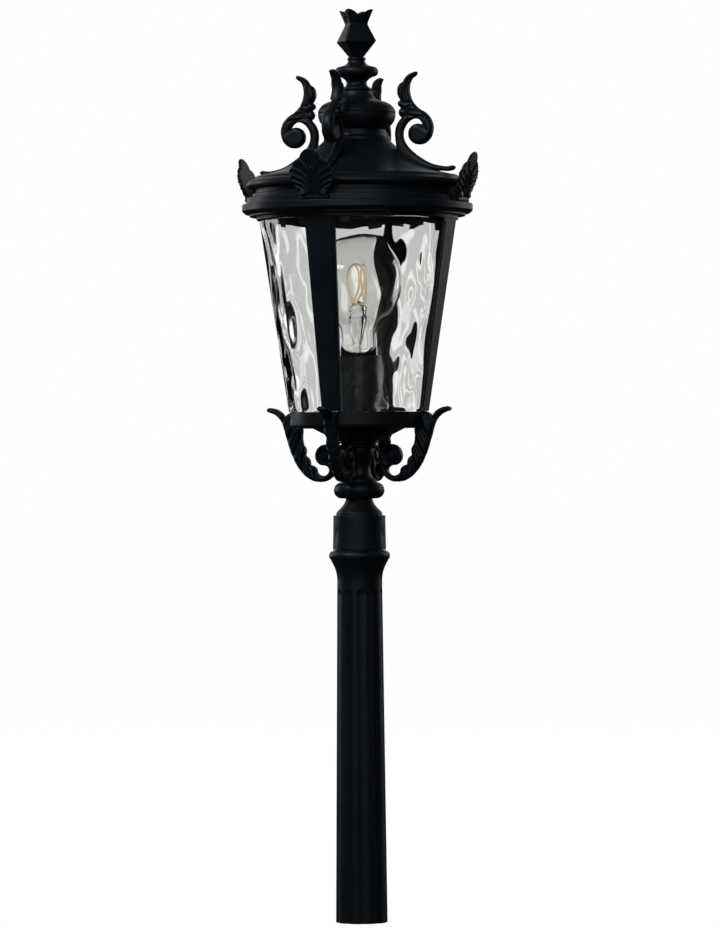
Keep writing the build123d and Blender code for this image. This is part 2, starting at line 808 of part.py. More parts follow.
def scroll_screw_seat():
    """Radius and height of the flat under the roof that a scroll's screw bears on."""
    return roof_curve(roof_wall) @ scroll_screw_place + Vector(0, spot_face)


def cupola():
    """Turned dome under the finial, hollow over the roof's plate."""
    foot = Polyline(
        (stud_r + fit_gap, roof_neck_z), (cupola_foot_r, roof_neck_z), (cupola_foot_r, cupola_neck_z),
        (cupola_neck_r, cupola_neck_z), (cupola_neck_r, cupola_flare_z),
    )
    flare = Spline(
        (cupola_neck_r, cupola_flare_z), (cupola_bulge_r, cupola_bulge_z), tangents=[(1, 0.35), (0.12, 1)]
    )
    shoulder = Spline(
        (cupola_bulge_r, cupola_bulge_z), (cupola_shoulder_r, cupola_shoulder_z),
        tangents=[(-0.25, 1), (-1, 0.3)],
    )
    throat = Spline(
        (cupola_shoulder_r, cupola_shoulder_z), (cupola_throat_r, cupola_throat_z),
        (cupola_top_r, cupola_top_z),
        tangents=[(-1, 0.1), (0, 1)],
    )
    top = Polyline(
        (cupola_top_r, cupola_top_z), (stud_r + fit_gap, cupola_top_z), (stud_r + fit_gap, roof_neck_z)
    )
    dome = turned(foot, flare, shoulder, throat, top)
    well_r = cupola_neck_r - cupola_wall
    return dome - turned(Polyline(
        (0, roof_neck_z), (well_r, roof_neck_z), (well_r, cupola_flare_z + cupola_wall),
        (0, cupola_shoulder_z - cupola_wall), (0, roof_neck_z),
    ))


def finial_stud():
    """Threaded rod through roof plate, cupola and finial."""
    return ring(0, stud_r, roof_neck_z - roof_plate - stud_tail, cupola_top_z + stud_end)


def finial_washer():
    """Round collar under the finial."""
    body = ring(0, washer_r, washer_z, washer_z + washer_height)
    body = fillet(body.edges(), washer_edge_r)
    return body - ring(0, stud_r + slip_gap, washer_z, washer_z + washer_height)


def finial_knob():
    """Flat round knob on a neck, bored for the stud."""
    bead_z = knob_z + knob_neck + knob_height / 2
    throat_z = crown_z - knob_throat / 2
    bore = stud_r + slip_gap
    rim_low = (knob_r - knob_bead_r, bead_z - knob_bead_r)
    rim_high = (knob_r - knob_bead_r, bead_z + knob_bead_r)
    neck = Spline((knob_neck_r, knob_z), rim_low, tangents=[(0, 1), (1, 0.1)])
    bead = ThreePointArc(rim_low, (knob_r, bead_z), rim_high)
    crest = Spline(rim_high, (knob_throat_r, throat_z), tangents=[(-1, 0.1), (0, 1)])
    throat = Polyline(
        (knob_throat_r, throat_z), (knob_throat_r, crown_z), (bore, crown_z), (bore, knob_z),
        (knob_neck_r, knob_z),
    )
    return turned(neck, bead, crest, throat)


def finial_crown():
    """Square crown that swells, draws in and opens into four petals."""
    belly_z = crown_z + crown_belly
    waist_z = belly_z + crown_waist
    lip_z = waist_z + crown_lip

    def square(z, corner_r):
        return Pos(0, 0, z) * RegularPolygon(corner_r, 4)

    levels = [
        (crown_z, crown_foot_r), (belly_z, crown_belly_r), (waist_z, crown_waist_r), (lip_z, crown_lip_r),
    ]
    body = Part()
    for (low, low_r), (high, high_r) in zip(levels, levels[1:]):
        body += loft([square(low, low_r), square(high, high_r)], ruled=True)
    floor = lip_z - crown_cup
    cup = [square(floor, crown_waist_r - crown_wall), square(lip_z, crown_lip_r - crown_wall)]
    body -= loft(cup, ruled=True)
    notch = radial(ring(0, petal_notch_r, 0, 2 * crown_lip_r), 0, lip_z - petal_notch + petal_notch_r)
    for cutter in around(notch, start=45):
        body -= cutter
    body -= ring(0, stud_r + slip_gap, crown_z, cupola_top_z + stud_end + stud_room)
    return Rot(0, 0, crown_turn) * body


def roof_scroll():
    """S-scroll on the roof: a foot down the slope, a curl with an eye, and a leaf horn above it."""
    reach = roof_foot_r - roof_neck_r + scroll_overhang

    def at(out, up):
        """A point in shares of the reach, and of the rise above the roof's neck or the roof's own rise."""
        return (roof_neck_r + out * reach, roof_neck_z + up * (scroll_rise if up > 0 else roof_rise))

    tail, notch, horn, sole = at(1.0, -0.82), at(0.551, 0.205), at(0.463, 1.0), at(0.99, -0.887)
    leaf, bead_top, bead_low, calyx = at(0.22, 0.866), at(0.184, 0.603), at(0.194, 0.489), at(0.202, 0.34)
    hollow = Spline(
        tail, at(0.632, -0.696), at(0.382, -0.371), at(0.23, 0.079), at(0.335, 0.286), at(0.506, 0.287),
        notch, tangents=[(-1, 0.05), (0.3, -1)],
    )
    curl = Spline(
        notch, at(0.439, 0.231), at(0.338, 0.12), at(0.499, -0.093), at(0.675, 0.175), at(0.546, 0.435),
        at(0.332, 0.66), at(0.342, 0.88), horn, tangents=[(-0.5, 0.6), (1, 0.8)],
    )
    back = Spline(horn, at(0.261, 0.936), leaf, tangents=[(-1, 0.1), (-0.3, -1)])
    lobe = Spline(leaf, at(0.146, 0.748), bead_top, tangents=[(-0.6, 0.3), (0.4, -1)])
    beads = [
        ThreePointArc(bead_top, at(0.153, 0.553), bead_low), ThreePointArc(bead_low, at(0.17, 0.398), calyx),
    ]
    heel = at(0.12, -0.128)
    stem = Spline(calyx, at(0.112, 0.122), heel, tangents=[(-0.7, -1), (0.25, -1)])
    seat = Polyline(heel, at(0.12, -0.406), at(0.418, -0.87), at(0.809, -0.942), sole, tail)
    outline = make_face(Curve() + [hollow, curl, back, lobe] + beads + [stem, seat])
    scroll = upright(outline, scroll_width) - roof_mass()
    seat = scroll_screw_seat()
    return scroll - vertical_hole(seat.X, seat.Y, seat.Y + screw_bite)


def palmette():
    """Shell-shaped leaf standing on the eave and leaning out, with a scalloped edge."""
    foot = palmette_foot_width / 2
    joints = [
        (foot, 8.5), (foot + 5.0, 15.0), (foot + 7.0, 22.0), (foot + 5.3, 29.5), (foot, 36.0), (7.0, 41.0),
    ]
    bulges = [(foot + 3.8, 10.6), (foot + 7.2, 17.6), (foot + 7.4, 26.0), (foot + 3.4, 33.6), (12.0, 40.4)]
    half = [Polyline((0, 0), (foot, 0), joints[0])]
    half += [ThreePointArc(a, b, c) for a, b, c in zip(joints, bulges, joints[1:])]
    half += [Spline(joints[-1], (0, palmette_rise), tangents=[(-0.2, 1), (-1, 0)])]
    outline = make_face(Curve() + half + [line.mirror(Plane.YZ) for line in half])
    reach = ledge_r + palmette_lean + 2 * palmette_wall
    blank = extrude(Plane.YZ * Pos(0, eave_top) * outline, reach)

    def lean(outset):
        foot_r = ledge_r + seat_gap + outset
        return Spline(
            (foot_r, eave_top + palmette_screw_height), (foot_r + palmette_lean, eave_top + palmette_rise),
            tangents=[(0.1, 1), (0.6, 1)],
        )

    back, front = lean(0), lean(palmette_wall)
    foot_r = ledge_r + seat_gap
    shell = turned(
        back, Line(back @ 1, front @ 1), front,
        Polyline(front @ 0, (foot_r + palmette_wall, eave_top), (foot_r, eave_top), back @ 0),
    )
    leaf = blank & shell
    for offset in (palmette_screw_spacing / 2, -palmette_screw_spacing / 2):
        leaf -= radial(ring(0, screw_r + screw_gap, 0, reach), 0, palmette_screw_z(), offset)
    return leaf


def palmette_screws():
    """Pan-head screws through the palmettes' feet."""
    face_r = ledge_r + seat_gap + palmette_wall + seat_gap
    screws = []
    for offset in (palmette_screw_spacing / 2, -palmette_screw_spacing / 2):
        screws += around(radial(pan_screw(screw_bite), face_r, palmette_screw_z(), offset))
    return screws


def roof_set_screws():
    """Grub screws in the cornice's skirt, against the top ring."""
    length = skirt_wall - seat_gap
    screw = ring(0, roof_screw_r, 0, length)
    screw -= Pos(0, 0, length - key_depth) * extrude(RegularPolygon(roof_key_r, 6), key_depth)
    return around(radial(screw, ring_r + seat_gap, roof_screw_z()), start=45)


def bar_screws():
    """Screws through the bars' feet and down into their head bosses."""
    foot = pan_screw(foot_depth + seat_gap + pan_wall / 2)
    foot = Rot(0, 0, 180) * radial(foot, -bar_foot_r(), bar_screw_z())
    head = Pos(boss_screw_r(), 0, ring_z + ring_wall) * pan_screw(ring_wall + screw_bite - seat_gap)
    return around(foot) + around(head)


def bracket_screws():
    """Screws down through the pan's floor into the brackets."""
    length = pan_wall + screw_bite - seat_gap
    screw = pan_screw(length, bracket_screw_r, bracket_screw_head_r)
    return around(Pos(bracket_hole_r, 0, pan_inside) * screw)


def scroll_screws():
    """Screws up through the roof into the scrolls' feet."""
    seat = scroll_screw_seat()
    return around(Pos(seat.X, 0, seat.Y) * Rot(180, 0, 0) * pan_screw(screw_bite - seat_gap))


def build():
    """Makes every node and writes its file."""
    os.makedirs("parts", exist_ok=True)
    save("post_shaft", post_shaft())
    save("post_tenon", post_tenon())
    save("fitter", fitter())
    for index in range(set_screw_count):
        save(f"fitter_set_screw_{index + 1}", set_screw(index))
    save("stem_collar", stem_collar())
    save("urn", urn())
    save("base_pan", base_pan())
    save("stem_tube", ring(stem_bore_r, stem_r, fitter_ceiling - stem_tail, pan_inside + stem_head))
    save(
        "stem_nuts",
        hexagon_nut(nut_flats, stem_r + fit_gap, fitter_ceiling - nut_height, nut_height),
        hexagon_nut(nut_flats, stem_r + fit_gap, pan_inside, nut_height),
    )
    save("lead_wires", *lead_wires())
    save("wire_connector", wire_connector())
    save("top_ring", top_ring())
    gasket = ring(ring_r - ring_rim + seat_gap, ring_r - seat_gap, ring_top, ring_top + gasket_wall)
    save("roof_gasket", gasket)
    clips = around(glass_clip(), start=clip_bearing) + around(glass_clip(), start=-clip_bearing)
    save("glass_clips", *clips)
    save("bar_screws", *bar_screws())
    save("bracket_screws", *bracket_screws())
    save("lampholder_cap", lampholder_cap())
    save("lampholder_sleeve", lampholder_sleeve())
    save("lampholder_base", lampholder_base())
    shell_r = thread_r + seat_gap
    save("lampholder_thread", ring(shell_r, shell_r + thread_wall, thread_z, thread_z + holder_thread))
    save("lampholder_contact", ring(0, contact_r, thread_z, thread_z + contact_height))
    save("cornice", cornice())
    save("roof_shell", roof_shell())
    save("cupola", cupola())
    save("finial_stud", finial_stud())
    save(
        "stud_nuts",
        hexagon_nut(stud_nut_flats, stud_r + fit_gap, roof_neck_z - roof_plate - nut_height, nut_height),
        hexagon_nut(stud_nut_flats, stud_r + fit_gap, roof_neck_z, nut_height),
    )
    save("palmette_screws", *palmette_screws())
    save("roof_set_screws", *roof_set_screws())
    save("scroll_screws", *scroll_screws())
    save("finial_washer", finial_washer())
    save("finial_knob", finial_knob())
    save("finial_crown", finial_crown())
    save("lamp_globe", lamp_globe())
    save("lamp_cap", lamp_cap())
    save("lamp_contact", lamp_contact())
    save("lamp_mount", lamp_mount())
    save("lamp_filaments", *lamp_filaments())
    makers = {
        "cage_bar": cage_bar(), "glass_panel": glass_panel(), "bracket": bracket(),
        "roof_scroll": roof_scroll(), "palmette": palmette(),
    }
    for kind, solid in makers.items():
        for side, bearing in SIDES.items():
            save(f"{kind}_{side}", Rot(0, 0, bearing) * solid)


build()
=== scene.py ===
"""Looks of the outdoor post light: coated castings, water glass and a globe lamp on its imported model.

Metres, +Z up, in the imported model's own frame. Outlines are written in millimetres.
"""
import json
import math

import bmesh
import bpy
from bpy.props import FloatProperty, FloatVectorProperty, IntProperty, PointerProperty
from mathutils import Matrix, Vector, geometry, noise


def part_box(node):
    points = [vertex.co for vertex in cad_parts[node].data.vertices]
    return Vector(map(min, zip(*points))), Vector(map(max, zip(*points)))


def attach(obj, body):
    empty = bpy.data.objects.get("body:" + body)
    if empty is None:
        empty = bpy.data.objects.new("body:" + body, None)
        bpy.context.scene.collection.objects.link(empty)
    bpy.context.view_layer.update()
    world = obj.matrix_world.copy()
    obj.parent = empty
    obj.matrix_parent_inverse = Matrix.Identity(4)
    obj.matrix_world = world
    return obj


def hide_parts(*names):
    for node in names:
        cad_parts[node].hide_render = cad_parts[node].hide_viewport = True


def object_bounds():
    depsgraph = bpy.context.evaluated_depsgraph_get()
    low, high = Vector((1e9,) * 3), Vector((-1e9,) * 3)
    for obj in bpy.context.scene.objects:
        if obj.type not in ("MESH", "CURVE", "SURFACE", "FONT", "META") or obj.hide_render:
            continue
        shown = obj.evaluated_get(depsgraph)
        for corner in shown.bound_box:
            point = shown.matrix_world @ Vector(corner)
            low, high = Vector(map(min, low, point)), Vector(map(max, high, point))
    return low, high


bl_info = {
    "name": "Outdoor Post Light",
    "version": (1, 0, 0),
    "blender": (4, 5, 0),
    "location": "View3D > Sidebar > Post Light",
    "description": "Dresses the packed post light with cast ornaments, water glass and finishes",
    "category": "Object",
}

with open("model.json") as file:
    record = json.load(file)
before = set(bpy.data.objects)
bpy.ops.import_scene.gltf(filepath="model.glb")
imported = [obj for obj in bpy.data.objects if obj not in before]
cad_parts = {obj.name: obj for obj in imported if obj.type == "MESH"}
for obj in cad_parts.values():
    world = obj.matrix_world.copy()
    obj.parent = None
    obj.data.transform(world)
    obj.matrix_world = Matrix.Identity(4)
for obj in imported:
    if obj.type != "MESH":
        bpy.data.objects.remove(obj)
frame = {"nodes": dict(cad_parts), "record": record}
cad_low, cad_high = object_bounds()

MM = 0.001
MERGE = 0.01 * MM
SIDES = {"front": -90, "right": 0, "back": 90, "left": 180}
SLOT_OF = {entry["node"]: entry["material_slot"] for entry in frame["record"]["subparts"]}
BODY_OF = {node: body for body, nodes in frame["record"]["behaviour"]["bodies"].items() for node in nodes}


def foot(node):
    """Height of a CAD node's lowest point, in millimetres."""
    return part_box(node)[0].z / MM


def top(node):
    """Height of a CAD node's highest point, in millimetres."""
    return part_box(node)[1].z / MM


# Sizes and colours that a user would change


def length_value(name, description, default):
    """A length that a user may change, in metres."""
    return FloatProperty(name=name, description=description, default=default, unit="LENGTH")


def angle_value(name, description, degrees):
    """An angle that a user may change."""
    return FloatProperty(name=name, description=description, default=math.radians(degrees), subtype="ANGLE")


def colour_value(name, description, default):
    """A colour that a user may change."""
    return FloatVectorProperty(
        name=name, description=description, default=default, subtype="COLOR", min=0, max=1)


class PostLightSizes(bpy.types.PropertyGroup):
    """Sizes of the dressed pieces."""

    lathe_steps: IntProperty(
        name="Lathe Steps", description="Faces round a turned piece", default=144, min=24)
    edge: length_value("Cast Edge", "Softening of a turned or flat piece's edges", 0.0006)
    skin: length_value("Casting Skin", "Size of the quads that a cast ornament is carved in", 0.0006)
    flutes: IntProperty(name="Flutes", description="Flutes round the post", default=10, min=3)
    flute_start: angle_value("First Flute", "Bearing of a flute", 7.6)
    flute_depth: length_value("Flute Depth", "Depth of a flute in the middle", 0.0012)
    ripple: length_value("Ripple", "Height of the water glass's waves", 0.0021)
    ripple_width: length_value("Ripple Width", "Spacing of the waves across a panel", 0.026)
    ripple_length: length_value("Ripple Length", "Spacing of the waves up a panel", 0.042)
    bracket_width: length_value("Bracket Width", "Thickness of a leaf bracket", 0.012)
    scroll_width: length_value("Scroll Width", "Thickness of a roof scroll", 0.0095)


class PostLightColours(bpy.types.PropertyGroup):
    """Colours of the finishes."""

    coat: colour_value("Powder Coat", "Black coat on the castings", (0.0030, 0.0060, 0.0098))
    coat_bloom: colour_value("Coat Bloom", "Paler, dusty tone of the coat", (0.0046, 0.0092, 0.0148))
    glass: colour_value("Water Glass", "Tint of the panels", (0.92, 0.928, 0.915))
    amber: colour_value("Filament", "Coating of the lamp's filaments", (0.90, 0.71, 0.45))


class PostLightStage(bpy.types.PropertyGroup):
    """Camera and studio."""

    azimuth: angle_value("Azimuth", "Bearing that the camera looks from", 22.0)
    distance: length_value("Distance", "From the lantern's axis to the camera", 5.0)
    eye_height: length_value("Eye Height", "Height of the level camera", 0.458)
    aside: length_value("Aside", "How far the camera stands to the right of the axis", 0.001)
    roll: angle_value("Roll", "Lean of the picture", 0.36)
    pixel: length_value("Pixel", "Real size of a picture pixel at the axis", 0.001)


# Shader nodes


class Value:
    """A node's output, usable in plain arithmetic."""

    def __init__(self, shade, output):
        self.shade = shade
        self.output = output

    def _math(self, operation, first, second):
        return self.shade.node("ShaderNodeMath", {"operation": operation}, {0: first, 1: second})

    def __add__(self, other):
        return self._math("ADD", self, other)

    def __sub__(self, other):
        return self._math("SUBTRACT", self, other)

    def __rsub__(self, other):
        return self._math("SUBTRACT", other, self)

    def __mul__(self, other):
        return self._math("MULTIPLY", self, other)

    def most(self, other):
        return self._math("MAXIMUM", self, other)

    def least(self, other):
        return self._math("MINIMUM", self, other)

    __radd__ = __add__
    __rmul__ = __mul__


class Shade:
    """One material or world, built node by node."""

    def __init__(self, owner):
        owner.use_nodes = True
        self.owner = owner
        self.tree = owner.node_tree
        self.tree.nodes.clear()

    def node(self, kind, settings=None, inputs=None, output=0):
        """Adds a node, sets it up, feeds its sockets and gives one of its outputs."""
        made = self.tree.nodes.new(kind)
        for name, value in (settings or {}).items():
            setattr(made, name, value)
        for name, value in (inputs or {}).items():
            if isinstance(value, Value):
                self.tree.links.new(value.output, made.inputs[name])
            else:
                made.inputs[name].default_value = value
        return Value(self, made.outputs[output])

    def ray(self, kind):
        """What sort of ray looks, or how often it has turned."""
        return self.node("ShaderNodeLightPath", output=kind)

    def looked_at(self):
        """1 for the eye, straight on or through glass, and 0 for light that falls on things."""
        turned_off = (self.ray("Diffuse Depth") + self.ray("Glossy Depth")).least(1.0)
        return self.ray("Is Camera Ray").most(self.ray("Is Transmission Ray") * (1 - turned_off))

    def place(self):
        """The surface's own coordinates, in metres."""
        return self.node("ShaderNodeTexCoord", output="Object")

    def grain(self, size, detail=2.0, stretch=None):
        """Noise whose features are about this size."""
        place = self.place()
        if stretch:
            place = self.node("ShaderNodeMapping", inputs={"Vector": place, "Scale": stretch})
        return self.node("ShaderNodeTexNoise", inputs={"Vector": place, "Scale": 1 / size, "Detail": detail})

    def along(self, direction, axis):
        """How far a direction points along an axis."""
        settings = {"operation": "DOT_PRODUCT"}
        return self.node("ShaderNodeVectorMath", settings, {0: direction, 1: axis}, output=1)

    def mix(self, factor, first, second):
        """Blends two colours by a value."""
        inputs = {"Factor": factor, 6: rgba(first), 7: rgba(second)}
        return self.node("ShaderNodeMix", {"data_type": "RGBA"}, inputs, output=2)

    def band(self, value, low, high):
        """Stretches a value between two limits to the range from 0 to 1."""
        return self.node("ShaderNodeMapRange", inputs={"Value": value, "From Min": low, "From Max": high})

    def bump(self, height, distance, strength=1.0):
        """A relief of this many metres."""
        inputs = {"Height": height, "Distance": distance, "Strength": strength}
        return self.node("ShaderNodeBump", inputs=inputs)

    def surface(self, **inputs):
        """A Principled shader, with sockets named by their words joined by underscores."""
        named = {name.replace("_", " "): value for name, value in inputs.items()}
        return self.node("ShaderNodeBsdfPrincipled", inputs=named)

    def done(self, shader):
        """Ends the tree in its output."""
        kind = "World" if isinstance(self.owner, bpy.types.World) else "Material"
        end = self.tree.nodes.new(f"ShaderNodeOutput{kind}")
        self.tree.links.new(shader.output, end.inputs["Surface"])
        return self.owner


def rgba(colour):
    """A colour with its alpha, or a link as it is."""
    return colour if isinstance(colour, Value) else (*colour[:3], 1.0)


def new_shade(name):
    """An empty material to build."""
    return Shade(bpy.data.materials.new(name))


# Finishes


def powder_coat(colours):
    """Satin black powder coat: fine orange peel, with a paler, rougher bloom in patches and specks."""
    shade = new_shade("satin_powder_coat")
    patches = shade.band(shade.grain(0.035, 3.0), 0.35, 0.7)
    specks = shade.band(shade.grain(0.0011, 1.0), 0.55, 0.75)
    colour = shade.mix(patches * 0.55 + specks * 0.25, colours.coat, colours.coat_bloom)
    roughness = 0.36 + patches * 0.1 + specks * 0.06
    peel = shade.grain(0.0009, 2.0) + shade.grain(0.004, 1.0) * 0.6
    return shade.done(shade.surface(
        Base_Color=colour, Roughness=roughness, Specular_IOR_Level=0.2,
        Normal=shade.bump(peel, 0.00009, 0.55)))


def two_tone(name, patch, detail, limits, tones, roughness, metallic):
    """A finish that goes from one tone to another in patches of about this size, and is rougher there."""
    shade = new_shade(name)
    patches = shade.band(shade.grain(patch, detail), *limits)
    smoothest, rise = roughness
    return shade.done(shade.surface(
        Base_Color=shade.mix(patches, *tones), Metallic=metallic, Roughness=smoothest + patches * rise))


def clear_glass(name, tint, roughness):
    """Glass that shows what is behind it and lets the lamps light what it shuts in."""
    shade = new_shade(name)
    smear = shade.band(shade.grain(0.02, 2.0), 0.4, 0.8)
    glass = shade.surface(
        Base_Color=rgba(tint), Transmission_Weight=1.0, IOR=1.5, Roughness=smear * roughness)
    clear = shade.node("ShaderNodeBsdfTransparent", inputs={"Color": rgba(tint)})
    lamp_ray = shade.ray("Is Shadow Ray")
    return shade.done(shade.node("ShaderNodeMixShader", inputs={0: lamp_ray, 1: glass, 2: clear}))


def water_glass(colours):
    """Faintly green glass of the panels."""
    return clear_glass("water_glass", colours.glass, 0.015)


def lamp_glass(colours):
    """Clear glass of the lamp's envelope and stem."""
    return clear_glass("lamp_glass", (0.98, 0.98, 0.97), 0.01)


def amber_filament(colours):
    """Uneven amber coat on the filaments, with a faint painted glow."""
    shade = new_shade("amber_filament")
    uneven = shade.band(shade.grain(0.004, 2.0, (1, 1, 0.4)), 0.3, 0.7)
    colour = shade.mix(uneven, colours.amber, (0.95, 0.84, 0.66))
    # Painted glow: the amber coat also gives off a faint light of its own, though the lamp is not lit.
    return shade.done(shade.surface(
        Base_Color=colour, Roughness=0.35 + uneven * 0.2, Emission_Color=rgba(colours.amber),
        Emission_Strength=0.3))


def thermoset(colours):
    """Black moulded lampholder plastic with a soft gloss."""
    shade = new_shade("black_thermoset")
    cloud = shade.band(shade.grain(0.012, 2.0), 0.3, 0.7)
    colour = shade.mix(cloud, (0.004, 0.005, 0.006), (0.007, 0.008, 0.01))
    return shade.done(shade.surface(
        Base_Color=colour, Roughness=0.24 + cloud * 0.1, Normal=shade.bump(shade.grain(0.0012), 0.00004)))


FINISHES = {
    "black_paint": powder_coat, "water_glass": water_glass, "lamp_glass": lamp_glass,
    "filament": amber_filament, "black_plastic": thermoset,
}
# Material, size of its patches, detail of their noise, limits, tones, roughness with its rise, metallic
TWO_TONES = {
    "black_screws": (
        "blackened_steel", 0.0016, 2.0, (0.45, 0.75), ((0.012, 0.013, 0.015), (0.05, 0.052, 0.056)),
        (0.34, 0.2), 0.6),
    "plated_steel": (
        "zinc_plate", 0.006, 3.0, (0.3, 0.7), ((0.035, 0.036, 0.04), (0.075, 0.075, 0.078)), (0.3, 0.2), 0.8),
    "nickel_cap": (
        "nickel_plate", 0.005, 3.0, (0.3, 0.7), ((0.6, 0.58, 0.54), (0.48, 0.46, 0.42)), (0.22, 0.2), 1.0),
    "brass": (
        "plain_brass", 0.006, 3.0, (0.35, 0.7), ((0.72, 0.53, 0.22), (0.5, 0.34, 0.13)), (0.25, 0.25), 1.0),
    "ceramic": (
        "glazed_ceramic", 0.001, 1.0, (0.62, 0.75), ((0.8, 0.79, 0.75), (0.55, 0.52, 0.47)), (0.2, 0.3), 0.0),
    "lead_sleeve": (
        "lead_sleeve", 0.003, 2.0, (0.4, 0.8), ((0.42, 0.09, 0.06), (0.5, 0.2, 0.15)), (0.45, 0.2), 0.0),
    "rubber_seal": (
        "rubber_seal", 0.004, 3.0, (0.4, 0.8), ((0.018, 0.018, 0.018), (0.05, 0.05, 0.05)), (0.7, 0.15), 0.0),
}
made_finishes = {}


def finish(slot):
    """The material of a record slot, made once."""
    if slot not in made_finishes:
        if slot in TWO_TONES:
            made_finishes[slot] = two_tone(*TWO_TONES[slot])
        else:
            made_finishes[slot] = FINISHES[slot](bpy.context.scene.post_light_colours)
    return made_finishes[slot]


# Modelling helpers


def arc(centre, radius, start, end, count):
    """Points of an arc in an outline, from one angle to another in degrees."""
    angles = [math.radians(start + (end - start) * i / (count - 1)) for i in range(count)]
    return [(centre[0] + radius * math.cos(a), centre[1] + radius * math.sin(a)) for a in angles]


def curve(start, start_pull, end_pull, end, count):
    """Points of a Bezier curve in an outline."""
    return [tuple(p) for p in geometry.interpolate_bezier(start, start_pull, end_pull, end, count)]


def ramp(value, low, high):
    """Rises evenly from 0 to 1 between two limits."""
    return min(1.0, max(0.0, (value - low) / (high - low)))


def polar(radius, angle, height):
    """A point from its radius, bearing in radians and height, in millimetres."""
    return (radius * MM * math.cos(angle), radius * MM * math.sin(angle), height * MM)


def new_verts(extruded):
    """The points that an extrusion made."""
    return [made for made in extruded["geom"] if isinstance(made, bmesh.types.BMVert)]


def soften(bm, width, angle=25):
    """Rounds every edge that is sharper than an angle."""
    limit = math.radians(angle)
    sharp = [edge for edge in bm.edges if edge.is_manifold and edge.calc_face_angle() > limit]
    bmesh.ops.bevel(
        bm, geom=sharp, offset=width, segments=2, profile=0.5, affect="EDGES", material=-1,
        clamp_overlap=True)


def ease(bm):
    """Smooths a casting's skin a little."""
    bmesh.ops.smooth_vert(
        bm, verts=bm.verts, factor=0.5, use_axis_x=True, use_axis_y=True, use_axis_z=True)


def grow_ring(bm, ring):
    """Extrudes a ring of points and gives the new ring."""
    held = set(ring)
    edges = [edge for edge in bm.edges if held.issuperset(edge.verts)]
    return new_verts(bmesh.ops.extrude_edge_only(bm, edges=edges))


def turned(outline, lift, edge, steps):
    """Spins a closed outline of radius and rise, in millimetres, about the lantern's axis."""
    bm = bmesh.new()
    verts = [bm.verts.new((r * MM, 0, (z + lift) * MM)) for r, z in outline]
    edges = [bm.edges.new(pair) for pair in zip(verts, verts[1:] + verts[:1])]
    bmesh.ops.spin(
        bm, geom=verts + edges, cent=(0, 0, 0), axis=(0, 0, 1), angle=2 * math.pi, steps=steps,
        use_merge=True)
    bmesh.ops.remove_doubles(bm, verts=bm.verts, dist=MERGE)
    bmesh.ops.recalc_face_normals(bm, faces=bm.faces)
    if edge:
        soften(bm, edge)
    return bm


def around(bm, bearing):
    """A copy of a mesh turned about the axis."""
    copy = bm.copy()
    bmesh.ops.rotate(
        copy, verts=copy.verts, cent=(0, 0, 0), matrix=Matrix.Rotation(math.radians(bearing), 3, "Z"))
    return copy


def join(bm, other):
    """Adds another mesh to a mesh."""
    mesh = bpy.data.meshes.new("joined")
    other.to_mesh(mesh)
    other.free()
    bm.from_mesh(mesh)
    bpy.data.meshes.remove(mesh)


def object_of(name, bm):
    """A mesh as an object in the scene."""
    mesh = bpy.data.meshes.new(name)
    bm.to_mesh(mesh)
    bm.free()
    made = bpy.data.objects.new(name, mesh)
    bpy.context.scene.collection.objects.link(made)
    return made


def mesh_of(temporary):
    """The evaluated mesh of a temporary object, which is then removed."""
    bpy.context.view_layer.update()
    evaluated = temporary.evaluated_get(bpy.context.evaluated_depsgraph_get())
    mesh = bpy.data.meshes.new_from_object(evaluated)
    bm = bmesh.new()
    bm.from_mesh(mesh)
    bpy.data.meshes.remove(mesh)
    data = temporary.data
    bpy.data.objects.remove(temporary)
    (bpy.data.curves if isinstance(data, bpy.types.Curve) else bpy.data.meshes).remove(data)
    return bm


def cut_away(bm, tool):
    """Cuts a tool's form out of a mesh."""
    blank, cutter = object_of("blank", bm), object_of("tool", tool)
    cut = blank.modifiers.new("cut", "BOOLEAN")
    cut.operation = "DIFFERENCE"
    cut.solver = "EXACT"
    cut.object = cutter
    fresh = mesh_of(blank)
    used = cutter.data
    bpy.data.objects.remove(cutter)
    bpy.data.meshes.remove(used)
    return fresh


def dressed(name, bm, node, flat_faces=True):
    """Makes a piece of a mesh: it takes the finish and body of the node that it stands for."""
    for face in bm.faces:
        face.smooth = True
    made = object_of(name, bm)
    if flat_faces:
        made.modifiers.new("even_faces", "WEIGHTED_NORMAL")
    slot = SLOT_OF[node]
    made.data.materials.append(finish(slot))
    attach(made, BODY_OF[node])
    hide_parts(node)


def set_round(name, casting, node):
    """Makes a piece of a casting on each side of the lantern."""
    for side, bearing in SIDES.items():
        dressed(f"{name}_{side}", around(casting, bearing), f"{node}_{side}", flat_faces=False)
    casting.free()


def blank_of(outline, width, rounding):
    """A plate cut to an outline of radius and height, with rounded edges. A third value marks a corner."""
    data = bpy.data.curves.new("blank", "CURVE")
    data.dimensions = "2D"
    data.fill_mode = "BOTH"
    data.resolution_u = 8
    data.extrude = width / 2 - rounding
    data.bevel_depth = rounding
    data.bevel_resolution = 3
    data.offset = -rounding
    spline = data.splines.new("BEZIER")
    spline.use_cyclic_u = True
    spline.bezier_points.add(len(outline) - 1)
    for point, place in zip(spline.bezier_points, outline):
        point.co = (place[0] * MM, place[1] * MM, 0)
        kind = "VECTOR" if len(place) > 2 else "AUTO"
        point.handle_left_type = kind
        point.handle_right_type = kind
    plate = bpy.data.objects.new("blank", data)
    bpy.context.scene.collection.objects.link(plate)
    bm = mesh_of(plate)
    bmesh.ops.remove_doubles(bm, verts=bm.verts, dist=MERGE)
    bmesh.ops.rotate(bm, verts=bm.verts, cent=(0, 0, 0), matrix=Matrix.Rotation(math.pi / 2, 3, "X"))
    return bm


